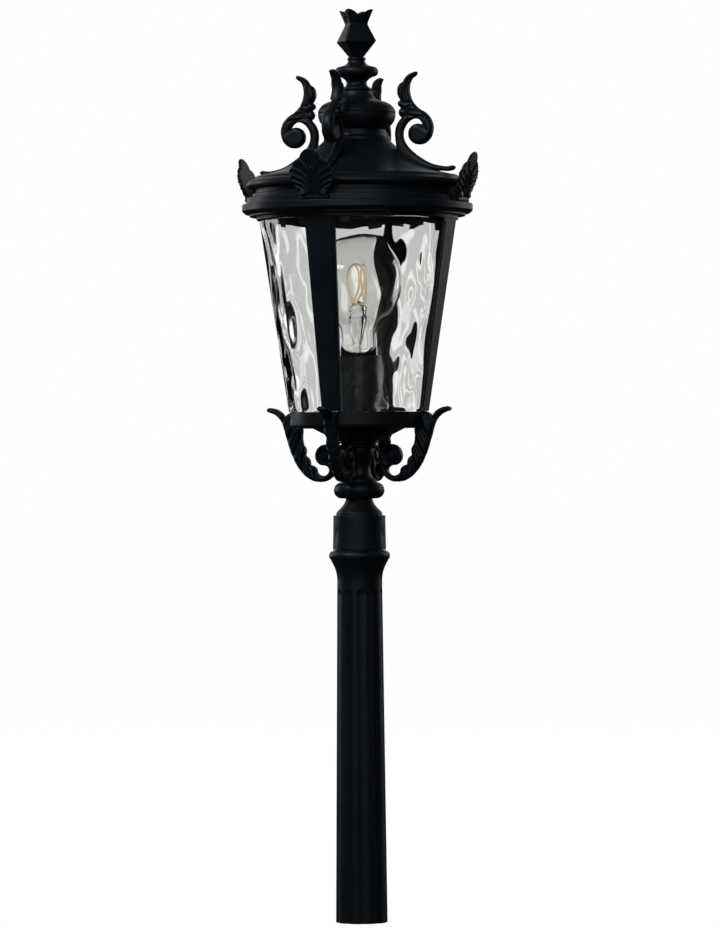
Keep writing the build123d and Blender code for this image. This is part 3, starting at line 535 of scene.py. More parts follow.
def cast(bm, skin, smoothing):
    """Joins overlapping forms into one casting with an even skin, and eases its edges."""
    form = object_of("casting", bm)
    remesh = form.modifiers.new("skin", "REMESH")
    remesh.mode = "VOXEL"
    remesh.voxel_size = skin
    remesh.adaptivity = 0.0
    fresh = mesh_of(form)
    for _ in range(smoothing):
        ease(fresh)
    fresh.normal_update()
    return fresh


def gap_to(point, line):
    """Distance of a point from a polyline."""
    best = math.inf
    for a, b in zip(line, line[1:]):
        run = b - a
        share = min(1.0, max(0.0, (point - a).dot(run) / run.length_squared))
        best = min(best, (point - a - run * share).length)
    return best


def carve(bm, lines, width, depth):
    """Sinks rounded grooves along lines of radius and height into both faces of an upright casting."""
    edge_on, too_slight = 0.15, 0.02
    paths = [[Vector(p) * MM for p in line] for line in lines]
    for vert in bm.verts:
        if abs(vert.normal.y) < edge_on:
            continue
        here = Vector((vert.co.x, vert.co.z))
        gap = min(gap_to(here, path) for path in paths)
        sink = math.exp(-((gap / width) ** 2))
        if sink > too_slight:
            vert.co.y -= math.copysign(depth * sink * abs(vert.normal.y), vert.normal.y)


def add_rod(bm, line, radius, sides):
    """Adds a round rod along points of radius, side and height, in millimetres."""
    points = [Vector(p) * MM for p in line]
    ring = bmesh.ops.create_circle(bm, cap_ends=True, segments=sides, radius=radius * MM)["verts"]
    before = Vector((0, 0, 1))
    place = Vector((0, 0, 0))
    for index, point in enumerate(points):
        ahead = points[min(index + 1, len(points) - 1)] - points[max(index - 1, 0)]
        if index:
            face = next(f for f in ring[0].link_faces if set(f.verts) == set(ring))
            made = bmesh.ops.extrude_discrete_faces(bm, faces=[face])["faces"][0]
            ring = list(made.verts)
        turn = before.rotation_difference(ahead).to_matrix()
        bmesh.ops.translate(bm, verts=ring, vec=-place)
        bmesh.ops.rotate(bm, verts=ring, cent=(0, 0, 0), matrix=turn)
        bmesh.ops.translate(bm, verts=ring, vec=point)
        before, place = ahead, point


# Stage


class POSTLIGHT_OT_stage(bpy.types.Operator):
    """Adds the studio's light, floor, lamps and camera"""

    bl_idname = "post_light.stage"
    bl_label = "Stage"

    room = 0.07
    behind_glass = 0.74
    strip = 1.15
    strip_gap = 0.12
    strip_edge = (-0.2, -0.9)
    backdrop_edge = (0.72, 0.95)
    floor_size = 40.0
    paper = 1.14
    paper_share = 0.86
    seen_floor = 0.86
    bounced_floor = 0.06
    # Place, size and power of each soft lamp, for a camera that looks along +Y
    boxes = {
        "key": ((-1.7, -1.5, 2.6), (1.3, 1.3), 42.0),
        "front": ((-0.3, -3.0, 1.6), (3.2, 1.8), 23.0),
        "left_edge": ((-2.2, 1.6, 1.2), (0.6, 1.8), 11.0),
        "right_edge": ((2.2, 1.6, 1.2), (0.6, 1.8), 9.0),
    }
    aim = Vector((0, 0, 0.62))
    picture_height = 928
    sensor = 36.0
    far = 200.0

    def execute(self, context):
        stage = context.scene.post_light_stage
        self.light_world(context.scene, stage)
        self.lay_floor()
        self.hang_softboxes(context.scene, stage)
        self.set_camera(context.scene, stage)
        context.scene.view_settings.view_transform = "Standard"
        return {"FINISHED"}

    def light_world(self, scene, stage):
        """White to the eye, paler and darker strips of a studio in glass, and a dim room for the rest."""
        scene.world = bpy.data.worlds.new("studio")
        shade = Shade(scene.world)
        toward = shade.node("ShaderNodeTexCoord", output="Generated")
        facing = shade.along(toward, (-math.sin(stage.azimuth), math.cos(stage.azimuth), 0))
        aside = shade.along(toward, (math.cos(stage.azimuth), math.sin(stage.azimuth), 0))
        phase = aside * (2 * math.pi / self.strip_gap)
        wave = shade.node("ShaderNodeMath", {"operation": "COSINE"}, {0: phase})
        strips = shade.band(wave, *self.strip_edge)
        in_glass = self.behind_glass + (self.strip - self.behind_glass) * strips
        lit = self.room + (1 - self.room) * shade.band(facing, *self.backdrop_edge)
        through = shade.looked_at()
        straight = shade.ray("Is Camera Ray")
        level = straight + (1 - straight) * (through * in_glass + (1 - through) * lit)
        shade.done(shade.node("ShaderNodeBackground", inputs={"Color": (1, 1, 1, 1), "Strength": level}))

    def lay_floor(self):
        """A white floor that is clear from below."""
        bm = bmesh.new()
        bmesh.ops.create_grid(bm, x_segments=8, y_segments=8, size=self.floor_size)
        bmesh.ops.translate(bm, verts=bm.verts, vec=(0, 0, cad_low.z))
        floor = object_of("floor", bm)
        shade = new_shade("pale_floor")
        seen = shade.looked_at()
        colour = shade.mix(seen, (self.bounced_floor,) * 3, (self.seen_floor,) * 3)
        diffuse = shade.node("ShaderNodeBsdfDiffuse", inputs={"Color": colour})
        paper = shade.node("ShaderNodeEmission", inputs={"Color": (1, 1, 1, 1), "Strength": self.paper})
        above = shade.node("ShaderNodeMixShader", inputs={0: seen * self.paper_share, 1: diffuse, 2: paper})
        from_below = shade.node("ShaderNodeNewGeometry", output="Backfacing")
        clear = shade.node("ShaderNodeBsdfTransparent")
        floor.data.materials.append(shade.done(shade.node(
            "ShaderNodeMixShader", inputs={0: from_below, 1: above, 2: clear})))

    def hang_softboxes(self, scene, stage):
        """A key lamp high on the camera's left, a broad one in front and two weak ones behind."""
        turn = Matrix.Rotation(stage.azimuth, 3, "Z")
        for name, (place, size, power) in self.boxes.items():
            data = bpy.data.lights.new(name, "AREA")
            data.shape = "RECTANGLE"
            data.size, data.size_y = size
            data.energy = power
            lamp = bpy.data.objects.new(name, data)
            lamp.location = turn @ Vector(place)
            lamp.rotation_euler = (self.aim - lamp.location).to_track_quat("-Z", "Y").to_euler()
            scene.collection.objects.link(lamp)

    def set_camera(self, scene, stage):
        """A level camera with the photograph's frame."""
        data = bpy.data.cameras.new("camera")
        data.sensor_width = self.sensor
        data.lens = data.sensor_width * stage.distance / stage.pixel / self.picture_height
        data.clip_end = self.far
        camera = bpy.data.objects.new("camera", data)
        level = Matrix.Rotation(stage.azimuth, 4, "Z")
        camera.matrix_world = (
            level @ Matrix.Translation((stage.aside, -stage.distance, stage.eye_height))
            @ Matrix.Rotation(math.pi / 2, 4, "X") @ Matrix.Rotation(-stage.roll, 4, "Z"))
        scene.collection.objects.link(camera)
        scene.camera = camera


# Turned pieces


class POSTLIGHT_OT_post(bpy.types.Operator):
    """Makes the fluted post with its flared capital and bore"""

    bl_idname = "post_light.post"
    bl_label = "Post"

    foot_r = 25.8
    neck_r = 22.5
    neck_rise = 341.0
    capital_r = 30.6
    bore_r = 17.2
    spigot_r = 18.2
    bore_rise = 334.0
    flute_r = 10.5
    flute_top = 333.0
    steps_per_flute = 24

    def execute(self, context):
        sizes = context.scene.post_light_sizes
        height = top("post_shaft")
        shaft = [(self.shaft_r(z), z) for z in self.shaft_levels()]
        flare = curve((self.neck_r, self.neck_rise), (self.neck_r, 350), (25.0, 355.4), (28.5, 361.4), 10)
        bead = arc((25.6, height - 5.6), self.capital_r - 25.6, -50, 62, 12)
        crest = [(26.8, height - 0.9), (26.5, height - 0.5), (26.3, height), (self.spigot_r, height)]
        bore = [(self.spigot_r, self.bore_rise), (self.bore_r, self.bore_rise), (self.bore_r, 0)]
        outline = shaft + flare[1:] + bead + crest + bore
        bm = bmesh.new()
        steps = sizes.flutes * self.steps_per_flute
        ring = bmesh.ops.create_circle(bm, segments=steps, radius=1.0)["verts"]
        self.place(ring, outline[0], sizes)
        for point in outline[1:]:
            ring = grow_ring(bm, ring)
            self.place(ring, point, sizes)
        ends = [e for e in bm.edges if e.is_boundary]
        bmesh.ops.bridge_loops(bm, edges=ends)
        bmesh.ops.recalc_face_normals(bm, faces=bm.faces)
        dressed("post", bm, "post_shaft")
        return {"FINISHED"}

    def shaft_r(self, z):
        """Radius of the tapering shaft at a height."""
        return self.foot_r + (self.neck_r - self.foot_r) * z / self.neck_rise

    def shaft_levels(self):
        """Rings up the shaft, close together where the flutes end."""
        plain = [0, 0.6] + list(range(40, 320, 40))
        return plain + [320 + i for i in range(15)] + [337, self.neck_rise]

    def place(self, ring, point, sizes):
        """Sets a ring on its level, sunk where a flute passes."""
        radius, z = point
        pitch = 2 * math.pi / sizes.flutes
        for vert in ring:
            angle = math.atan2(vert.co.y, vert.co.x)
            from_flute = ((angle - sizes.flute_start + pitch / 2) % pitch) - pitch / 2
            r = radius
            if radius > self.spigot_r + 1 and z < self.flute_top + 10:
                r -= self.flute(from_flute * radius, z, sizes.flute_depth / MM)
            vert.co = polar(r, angle, z)

    def flute(self, across, z, depth):
        """Depth of a round-ended flute, cut by a ball-nosed tool."""
        half_width_sq = self.flute_r ** 2 - (self.flute_r - depth) ** 2
        end = max(0.0, z - (self.flute_top - math.sqrt(half_width_sq)))
        room = self.flute_r ** 2 - across ** 2 - end ** 2
        return max(0.0, math.sqrt(max(0.0, room)) - (self.flute_r - depth))


def turned_pieces():
    """Outlines of the turned pieces: radius and rise above each node's foot, in millimetres."""
    stem = 5.05
    stud = 4.08
    ring_bore = 83.26
    collar = [(stem, 0), (17.2, 0)] + arc((17.2, 8.2), 8.2, -90, 90, 17)[1:] + [(stem, 16.4)]
    fitter = [(22.68, 0), (26.6, 0), (26.0, 33.7), (25.6, 34.3), (23.1, 34.3), (23.1, 36.6)]
    fitter += curve((22.8, 37.2), (20.2, 40.6), (14.4, 44.0), (13.4, 50.6), 12)
    fitter += [(13.4, 51.0), (stem, 51.0), (stem, 29.8), (22.68, 29.8)]
    urn = [(stem, 0), (17.5, 0), (17.5, 2.6)]
    urn += curve((16.2, 3.2), (11.8, 5.0), (10.9, 11.0), (11.5, 16.0), 10)
    urn += curve((11.5, 16.0), (12.2, 22.0), (15.4, 26.0), (15.0, 33.6), 10)[1:]
    urn += [(16.4, 34.4), (18.3, 35.6)] + arc((17.2, 36.8), 1.5, -50, 60, 6) + [(16.9, 38.5)]
    urn += arc((19.2, 39.7), 1.2, -70, 80, 6) + [(stem, 41.0)]
    pan = [(stem, 0), (20.6, 0), (22.6, 0.6), (46.5, 13.0), (67.0, 13.0), (68.5, 16.0), (68.5, 29.0),
           (65.5, 29.0), (65.5, 16.0), (stem, 16.0)]
    top_ring = [(ring_bore, 0), (89.4, 0), (90.0, -2.0), (90.6, -2.5), (91.4, -2.5), (92.0, -2.0), (92.4, 0),
                (101.0, 0), (101.0, 6.0), (97.0, 6.0), (97.0, 3.0), (ring_bore, 3.0)]
    cornice = [(101.4, 0), (108.0, 0), (108.0, 2.5), (112.2, 2.5), (115.4, 5.4), (115.4, 11.6), (114.4, 12.5),
               (110.5, 12.5), (110.5, 18.3), (109.9, 18.9), (104.6, 18.9), (104.6, 22.4), (104.0, 23.0),
               (101.6, 23.0), (101.6, 27.5), (98.0, 27.5), (98.0, 4.0), (101.4, 4.0)]
    roof = [(98.0, 0), (106.4, 0)] + arc((106.5, 4.2), 4.2, -84, 70, 12)
    roof += [(103.6, 10.4), (103.3, 11.4), (100.5, 13.0)]
    roof += curve((100.5, 13.0), (75.0, 17.1), (55.0, 27.1), (33.5, 47.9), 28)[1:]
    roof += [(stud, 47.9), (stud, 43.9), (32.6, 43.9)]
    roof += curve((32.6, 43.9), (54.0, 23.6), (75.0, 13.6), (98.0, 10.3), 20)[1:]
    cupola = [(stud, 0), (33.3, 0), (33.3, 2.8), (32.6, 3.4), (30.4, 3.9), (29.0, 5.2), (28.5, 7.4)]
    cupola += [(28.6, 11.0)]
    cupola += curve((29.4, 12.0), (33.8, 14.4), (38.0, 18.6), (38.8, 24.8), 10)
    cupola += [(38.9, 27.2), (38.3, 27.5), (38.3, 28.1), (39.1, 28.4)]
    cupola += curve((39.0, 29.0), (37.8, 33.2), (34.6, 36.8), (30.2, 38.4), 10)
    cupola += curve((29.0, 39.0), (22.0, 40.0), (16.6, 42.8), (15.2, 48.4), 10) + [(15.0, 50.0), (stud, 50.0)]
    washer = [(stud, 0), (13.4, 0)] + arc((13.1, 1.6), 1.6, -80, 50, 8)
    washer += curve((13.4, 3.3), (11.8, 4.0), (11.2, 4.6), (10.8, 5.4), 5) + [(stud, 5.4)]
    knob = [(stud, 0), (10.6, 0)] + curve((10.5, 0.4), (9.6, 3.8), (10.8, 5.2), (16.6, 8.6), 10)
    knob += arc((17.0, 13.4), 4.8, -74, 80, 14)
    knob += curve((17.6, 18.2), (13.0, 19.2), (9.2, 20.6), (8.4, 24.0), 8)
    knob += [(8.4, 24.6)] + arc((8.0, 26.0), 1.4, -60, 60, 6) + [(8.2, 28.0), (stud, 28.0)]
    return {
        "fitter": fitter, "stem_collar": collar, "urn": urn, "base_pan": pan, "top_ring": top_ring,
        "cornice": cornice, "roof_shell": roof, "cupola": cupola, "finial_washer": washer,
        "finial_knob": knob,
    }


class POSTLIGHT_OT_turnings(bpy.types.Operator):
    """Makes the fitter, collar, urn, pan, top ring, cornice, roof, cupola, washer and knob on the lathe"""

    bl_idname = "post_light.turnings"
    bl_label = "Turned Pieces"

    hole_r = 3.2 * MM
    drill_length = 30 * MM
    drill_out = 30 * MM
    pad_low = 12.0
    pad_high = 27.5
    pad_r = 110.6
    pad_depth = 11.0
    pad_width = 31.0

    def execute(self, context):
        sizes = context.scene.post_light_sizes
        for node, outline in turned_pieces().items():
            bm = turned(outline, foot(node), sizes.edge, sizes.lathe_steps)
            if node == "cornice":
                self.add_pads(bm, sizes.edge)
            if node == "fitter":
                bm = self.drill(bm)
            dressed(f"turned_{node}", bm, node)
        return {"FINISHED"}

    def drill(self, bm):
        """Drills the holes of the three set screws through the fitter's wall."""
        drills = bmesh.new()
        for number in (1, 2, 3):
            low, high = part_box(f"fitter_set_screw_{number}")
            middle = (low + high) / 2
            bearing = math.atan2(middle.y, middle.x)
            drill = bmesh.new()
            bmesh.ops.create_cone(
                drill, cap_ends=True, segments=32, radius1=self.hole_r, radius2=self.hole_r,
                depth=self.drill_length)
            bmesh.ops.rotate(drill, verts=drill.verts, matrix=Matrix.Rotation(math.pi / 2, 3, "Y"))
            bmesh.ops.translate(drill, verts=drill.verts, vec=(self.drill_out, 0, middle.z))
            join(drills, around(drill, math.degrees(bearing)))
            drill.free()
        return cut_away(bm, drills)

    def add_pads(self, bm, edge):
        """Adds the flat blocks behind the palmettes, between ledge and rim."""
        low, high = foot("cornice") + self.pad_low, foot("cornice") + self.pad_high
        pad = bmesh.new()
        bmesh.ops.create_cube(pad, size=MM)
        bmesh.ops.scale(pad, verts=pad.verts, vec=(self.pad_depth, self.pad_width, high - low))
        middle = ((self.pad_r - self.pad_depth / 2) * MM, 0, (low + high) / 2 * MM)
        bmesh.ops.translate(pad, verts=pad.verts, vec=middle)
        soften(pad, edge)
        for bearing in SIDES.values():
            join(bm, around(pad, bearing))
        pad.free()


class POSTLIGHT_OT_crown(bpy.types.Operator):
    """Makes the finial's square crown with its four petals"""

    bl_idname = "post_light.crown"
    bl_label = "Crown"

    steps = 96
    turn = math.radians(-5.5)
    corner = 1.09
    wall = 2.4
    waist = 34.2
    notch = 5.6
    notch_power = 2.4
    cup_floor = 35.0
    cup_r = 7.0
    rings = [(7.6, 0), (8.7, 0.5), (21.6, 14.6), (22.5, 15.5), (21.7, 16.6), (13.3, 31.2), (12.9, 32.6),
             (13.2, 34.2), (16.6, 41.6), (19.3, 46.8)]

    def execute(self, context):
        base = foot("finial_crown")
        lip = top("finial_crown") - base
        outline = [(r, z, max(0.0, (z - self.waist) / (lip - self.waist))) for r, z in self.rings]
        tip_r = self.rings[-1][0]
        outline += [(tip_r - self.wall * 0.4, lip + 0.4, 1.0), (tip_r - self.wall, lip - 0.4, 1.0),
                    (16.6 - self.wall, 41.6, 0.55), (13.2 - self.wall, self.cup_floor + 0.8, 0.0),
                    (self.cup_r, self.cup_floor, 0.0)]
        bm = bmesh.new()
        ring = bmesh.ops.create_circle(bm, segments=self.steps, radius=1.0)["verts"]
        bmesh.ops.rotate(bm, verts=ring, matrix=Matrix.Rotation(self.turn, 3, "Z"))
        self.place(ring, outline[0], base)
        for point in outline[1:]:
            ring = grow_ring(bm, ring)
            self.place(ring, point, base)
        bmesh.ops.holes_fill(bm, edges=[e for e in bm.edges if e.is_boundary], sides=0)
        bmesh.ops.recalc_face_normals(bm, faces=bm.faces)
        dressed("crown", bm, "finial_crown")
        return {"FINISHED"}

    def place(self, ring, point, base):
        """Sets a ring as a square with eased corners, and notches it between the petals."""
        radius, z, petal = point
        for vert in ring:
            angle = math.atan2(vert.co.y, vert.co.x)
            local = angle - self.turn
            square = abs(math.cos(local)) ** self.corner + abs(math.sin(local)) ** self.corner
            r = radius * square ** (-1 / self.corner)
            drop = self.notch * petal * abs(math.sin(2 * local)) ** self.notch_power
            vert.co = polar(r, angle, base + z - drop)


# Glass


class POSTLIGHT_OT_glass(bpy.types.Operator):
    """Makes the four panels of wavy water glass"""

    bl_idname = "post_light.glass"
    bl_label = "Water Glass"

    foot_r = 68.5
    head_r = 96.9
    wall = 3.5
    edge_gap = 2.03
    rebate = 1.0
    across = 120
    along = 150
    foot_fade = 5.0
    inner_wave = 0.35
    inner_seed = 40
    small_wave = 0.22
    small_scale = (2.1, 1.8)
    small_seed = 11
    seed_step = 3.7
    seeds = {"front": 12, "right": 13, "back": 14, "left": 15}
    calm_bearing = -86.0
    calm_reach = (26.0, 38.0)
    calm_share = 0.3

    def execute(self, context):
        sizes = context.scene.post_light_sizes
        low, high = foot("glass_panel_front") - self.rebate, foot("top_ring")
        for side, bearing in SIDES.items():
            bm = bmesh.new()
            bmesh.ops.create_grid(bm, x_segments=self.across, y_segments=self.along, size=1.0)
            outer = list(bm.verts)
            inner = new_verts(bmesh.ops.extrude_face_region(bm, geom=list(bm.faces), use_keep_orig=True))
            for verts, inset, wave in ((outer, 0.0, 1.0), (inner, self.wall, self.inner_wave)):
                for vert in verts:
                    self.place(vert, inset, wave, bearing, (low, high), self.seeds[side], sizes)
            bmesh.ops.recalc_face_normals(bm, faces=bm.faces)
            dressed(f"water_glass_{side}", bm, f"glass_panel_{side}", flat_faces=False)
        return {"FINISHED"}

    def place(self, vert, inset, wave, bearing, heights, seed, sizes):
        """Bends a point of the flat sheet round the cone and moves it with the waves."""
        share = (vert.co.y + 1) / 2
        z = heights[0] + (heights[1] - heights[0]) * share
        radius = self.foot_r + (self.head_r - self.foot_r) * share
        edge = math.degrees(self.edge_gap / (self.foot_r - self.wall))
        degrees = bearing + edge + (90 - 2 * edge) * (vert.co.x + 1) / 2
        across = math.radians(degrees) * (self.foot_r + self.head_r) / 2 * MM
        height = self.wave(across, z * MM, seed + (self.inner_seed if inset else 0), sizes)
        from_calm = abs((degrees - self.calm_bearing + 180) % 360 - 180)
        height *= self.calm_share + (1 - self.calm_share) * ramp(from_calm, *self.calm_reach)
        r = radius - inset + wave * height / MM * ramp(z, heights[0], heights[0] + self.foot_fade)
        vert.co = polar(r, math.radians(degrees), z)

    def wave(self, across, up, seed, sizes):
        """Height of the glass's waves: long runs up the panel with smaller ones between."""
        u, v = across / sizes.ripple_width, up / sizes.ripple_length
        depth = seed * self.seed_step
        broad = noise.noise(Vector((u, v, depth)))
        wide, long = self.small_scale
        small = noise.noise(Vector((u * wide, v * long, depth + self.small_seed)))
        return sizes.ripple * (broad + self.small_wave * small)


class POSTLIGHT_OT_clips(bpy.types.Operator):
    """Bends the small spring clips that hold the glass under the top ring"""

    bl_idname = "post_light.clips"
    bl_label = "Glass Clips"

    from_bar = 14.0
    width = 8.0
    edge = 0.2 * MM
    sharp = 50
    bend = [(88.6, 0.0), (93.0, 0.0), (93.0, -1.0), (92.6, -1.6), (91.9, -5.2), (91.2, -6.0), (90.2, -5.8),
            (90.4, -5.0), (91.0, -4.8), (91.6, -1.4), (91.2, -1.0), (88.6, -1.0)]

    def execute(self, context):
        ring = foot("top_ring")
        clip = bmesh.new()
        verts = [clip.verts.new((r * MM, -self.width / 2 * MM, (ring + z) * MM)) for r, z in self.bend]
        strip = bmesh.ops.contextual_create(clip, geom=verts)["faces"]
        ends = new_verts(bmesh.ops.extrude_face_region(clip, geom=strip, use_keep_orig=True))
        bmesh.ops.translate(clip, verts=ends, vec=(0, self.width * MM, 0))
        bmesh.ops.recalc_face_normals(clip, faces=clip.faces)
        soften(clip, self.edge, self.sharp)
        bm = bmesh.new()
        for bearing in SIDES.values():
            for side in (-self.from_bar, self.from_bar):
                join(bm, around(clip, bearing + side))
        clip.free()
        dressed("spring_clips", bm, "glass_clips")
        return {"FINISHED"}


# Cast ornaments


class POSTLIGHT_OT_brackets(bpy.types.Operator):
    """Casts the four leaf brackets under the pan"""

    bl_idname = "post_light.brackets"
    bl_label = "Leaf Brackets"

    outline = [
        (98.6, 513.4), (98.4, 511.2), (94.8, 509.8), (89.4, 507.4), (85.0, 503.6), (81.2, 496.6),
        (78.6, 487.8), (75.2, 477.0), (70.8, 465.4), (64.0, 453.6), (54.2, 444.0), (43.4, 440.2),
        (32.4, 442.4), (25.8, 449.6), (23.8, 459.0), (25.6, 471.0), (30.0, 476.4), (36.0, 477.8),
        (42.4, 475.2), (46.2, 468.4), (45.4, 461.8), (40.8, 457.2), (34.6, 456.2), (31.4, 452.8),
        (33.2, 448.2), (38.4, 446.4), (44.4, 449.0), (45.6, 453.2), (49.2, 456.4), (52.6, 457.4, 1),
        (53.2, 462.2), (56.0, 465.6), (57.8, 466.8, 1), (57.2, 471.8), (58.4, 475.4), (60.0, 477.4, 1),
        (61.0, 485.0), (60.6, 493.8, 1), (68.6, 493.8, 1), (68.6, 509.7, 1), (71.4, 510.0),
        (75.6, 508.8), (79.4, 505.4, 1), (82.6, 509.6), (87.4, 513.0), (93.0, 514.6), (97.0, 514.8),
    ]
    veins = [
        [(46.0, 450.5), (45.0, 445.5), (43.0, 440.8)],
        [(52.6, 457.6), (52.8, 451.0), (51.4, 442.6)],
        [(57.8, 467.0), (59.4, 458.5), (60.4, 449.4)],
        [(60.2, 478.0), (63.0, 467.0), (66.6, 457.4)],
        [(61.0, 486.0), (65.8, 474.0), (70.6, 465.0)],
        [(62.0, 495.0), (68.0, 483.0), (73.6, 472.6)],
        [(66.0, 500.0), (72.0, 489.0), (76.6, 481.0)],
        [(70.5, 507.0), (76.4, 498.6), (79.4, 490.0)],
        [(76.6, 507.4), (80.4, 502.4), (82.6, 499.4)],
    ]
    eye = (35.4, 466.9)
    eye_r = 6.4
    rounding = 0.3
    # Width and depth of the grooves
    deep_groove = (2.1 * MM, 2.8 * MM)
    fine_groove = (0.7 * MM, 1.6 * MM)
    eye_groove = (1.5 * MM, 3.0 * MM)

    def execute(self, context):
        sizes = context.scene.post_light_sizes
        width = sizes.bracket_width
        casting = cast(blank_of(self.outline, width, width * self.rounding), sizes.skin, 3)
        carve(casting, self.veins[0::2], *self.deep_groove)
        carve(casting, self.veins[1::2], *self.fine_groove)
        carve(casting, [arc(self.eye, self.eye_r, 0, 360, 25)], *self.eye_groove)
        ease(casting)
        set_round("leaf_bracket", casting, "bracket")
        return {"FINISHED"}


class POSTLIGHT_OT_scrolls(bpy.types.Operator):
    """Casts the four scrolls on the roof, with their leaf horns"""

    bl_idname = "post_light.scrolls"
    bl_label = "Roof Scrolls"

    outline = [
        (105.2, 752.6), (96.0, 753.2), (88.6, 754.2), (78.8, 757.0), (69.0, 762.4), (60.9, 768.2),
        (54.5, 774.6), (50.6, 782.0), (50.2, 788.0), (52.4, 794.2), (57.5, 799.6), (64.0, 801.4),
        (69.0, 798.8), (71.4, 794.2, 1), (68.0, 796.2), (62.6, 796.0), (57.2, 792.0), (55.4, 786.4),
        (58.0, 779.6), (66.6, 775.4), (76.0, 778.6), (81.4, 788.0), (80.6, 798.6), (74.2, 807.0),
        (66.4, 812.0), (60.4, 818.6), (57.2, 826.6), (57.0, 834.0), (59.4, 840.6), (65.4, 846.2),
        (65.0, 848.0), (59.8, 847.4), (54.2, 844.4), (49.9, 838.6, 1), (46.6, 836.4), (44.2, 830.6),
        (45.0, 824.4), (47.4, 820.4, 1), (44.8, 818.2), (45.2, 814.6), (47.8, 812.8, 1), (45.4, 809.4),
        (46.0, 805.2), (48.6, 803.0, 1), (43.8, 797.0), (41.3, 788.4), (41.8, 780.0), (43.0, 772.2),
        (45.0, 766.4), (58.0, 757.0), (72.0, 751.0), (86.0, 749.0), (104.4, 750.0),
    ]
    veins = [
        [(49.9, 838.6), (51.8, 830.0), (51.6, 822.0), (50.8, 819.0)],
        [(62.6, 845.8), (56.0, 839.0), (54.4, 829.6), (55.0, 819.4)],
        [(47.4, 819.6), (52.6, 817.0), (60.6, 817.6)],
        [(47.8, 812.6), (52.0, 809.4), (57.0, 812.6), (59.4, 816.6)],
        [(48.4, 803.6), (57.0, 804.6), (65.0, 803.2), (72.4, 802.6)],
        [(50.8, 804.4), (57.6, 809.4), (66.6, 808.8)],
    ]
    rounding = 0.42
    groove = (1.2 * MM, 1.5 * MM)
    leaf_foot = (812.0, 820.0)
    leaf_tip = (834.0, 848.0)
    volute_out = (54.0, 62.0)
    volute_up = (768.0, 776.0)
    stem_share = 0.92
    swelling = 0.36
    tip_thinning = 0.6

    def execute(self, context):
        sizes = context.scene.post_light_sizes
        width = sizes.scroll_width
        casting = cast(blank_of(self.outline, width, width * self.rounding), sizes.skin, 3)
        carve(casting, self.veins, *self.groove)
        for vert in casting.verts:
            vert.co.y *= self.swell(vert.co.x / MM, vert.co.z / MM)
        ease(casting)
        set_round("leaf_scroll", casting, "roof_scroll")
        return {"FINISHED"}

    def swell(self, out, up):
        """How much broader the casting is at its leaf and volute than along its stem and at its tip."""
        in_leaf = ramp(up, *self.leaf_foot)
        leaf = in_leaf - self.tip_thinning * ramp(up, *self.leaf_tip)
        volute = ramp(out, *self.volute_out) * ramp(up, *self.volute_up)
        return self.stem_share + self.swelling * max(leaf, volute * (1 - in_leaf))


class POSTLIGHT_OT_palmettes(bpy.types.Operator):
    """Casts the four shell-shaped palmettes on the eave"""

    bl_idname = "post_light.palmettes"
    bl_label = "Palmettes"

    half = [
        (0.0, 48.8), (5.6, 47.0), (9.8, 42.8), (11.4, 38.4, 1), (15.0, 37.6), (18.8, 34.6),
        (20.2, 30.8, 1), (22.6, 29.0), (23.4, 25.8), (21.8, 24.2, 1), (23.4, 21.6), (22.6, 18.4),
        (20.6, 17.6, 1), (21.2, 15.0), (19.4, 12.2), (17.6, 11.8, 1), (17.2, 8.8), (15.2, 7.0, 1),
        (14.8, 0.0, 1),
    ]
    skin = 0.45 * MM
    wall = 3.6
    rounding = 1.1 * MM
    rib_rise = 1.3 * MM
    rib_width = 0.85 * MM
    rib_foot = 7.0
    first_rib = Vector((2.2, 8.0))
    rib_step = Vector((1.5, -0.9))
    rib_pull = (1.3, 0.66)
    middle_rib = [(0, 5.0), (0, 30.0)]
    ground_sink = 0.3
    ground_from = (0.006, 0.014)
    front_face = -0.2
    foot_r = 110.8
    lean = 13.6
    straight = 4.0
    bow = 1.08

    def execute(self, context):
        mirrored = [(-p[0], *p[1:]) for p in reversed(self.half[1:])]
        casting = cast(blank_of(self.half + mirrored, self.wall * MM, self.rounding), self.skin, 2)
        self.rib(casting)
        self.bend(casting, top("palmette_right") - foot("palmette_right"))
        set_round("shell_palmette", casting, "palmette")
        return {"FINISHED"}

    def rib(self, bm):
        """Raises thin ribs on the front face, which rise from the foot and bend out to the notches."""
        notches = [p[:2] for p in self.half if len(p) > 2 and p[1] > self.rib_foot]
        lines = [self.middle_rib]
        for index, (x, z) in enumerate(notches):
            start = self.first_rib + self.rib_step * index
            pull = (start.x * self.rib_pull[0], start.y + (z - start.y) * self.rib_pull[1])
            lines.append(curve(start, pull, pull, (x, z), 9))
        ribs = [[Vector(p) * MM for p in line] for line in lines]
        for vert in bm.verts:
            if vert.normal.y > self.front_face:
                continue
            here = Vector((abs(vert.co.x), vert.co.z))
            gap = min(gap_to(here, rib) for rib in ribs)
            ground = self.ground_sink * ramp(here.y, *self.ground_from)
            vert.co.y -= self.rib_rise * (math.exp(-((gap / self.rib_width) ** 2)) - ground)

    def bend(self, bm, rise):
        """Stands the flat leaf on the eave, leaning out."""
        base = foot("palmette_right")
        for vert in bm.verts:
            x, depth, z = vert.co.x / MM, -vert.co.y / MM, vert.co.z / MM
            share = max(0.0, (z - self.straight) / (rise - self.straight))
            out = self.foot_r + self.wall / 2 + depth + self.lean * share ** self.bow
            vert.co = (out * MM, x * MM, (base + z) * MM)


# Lamp


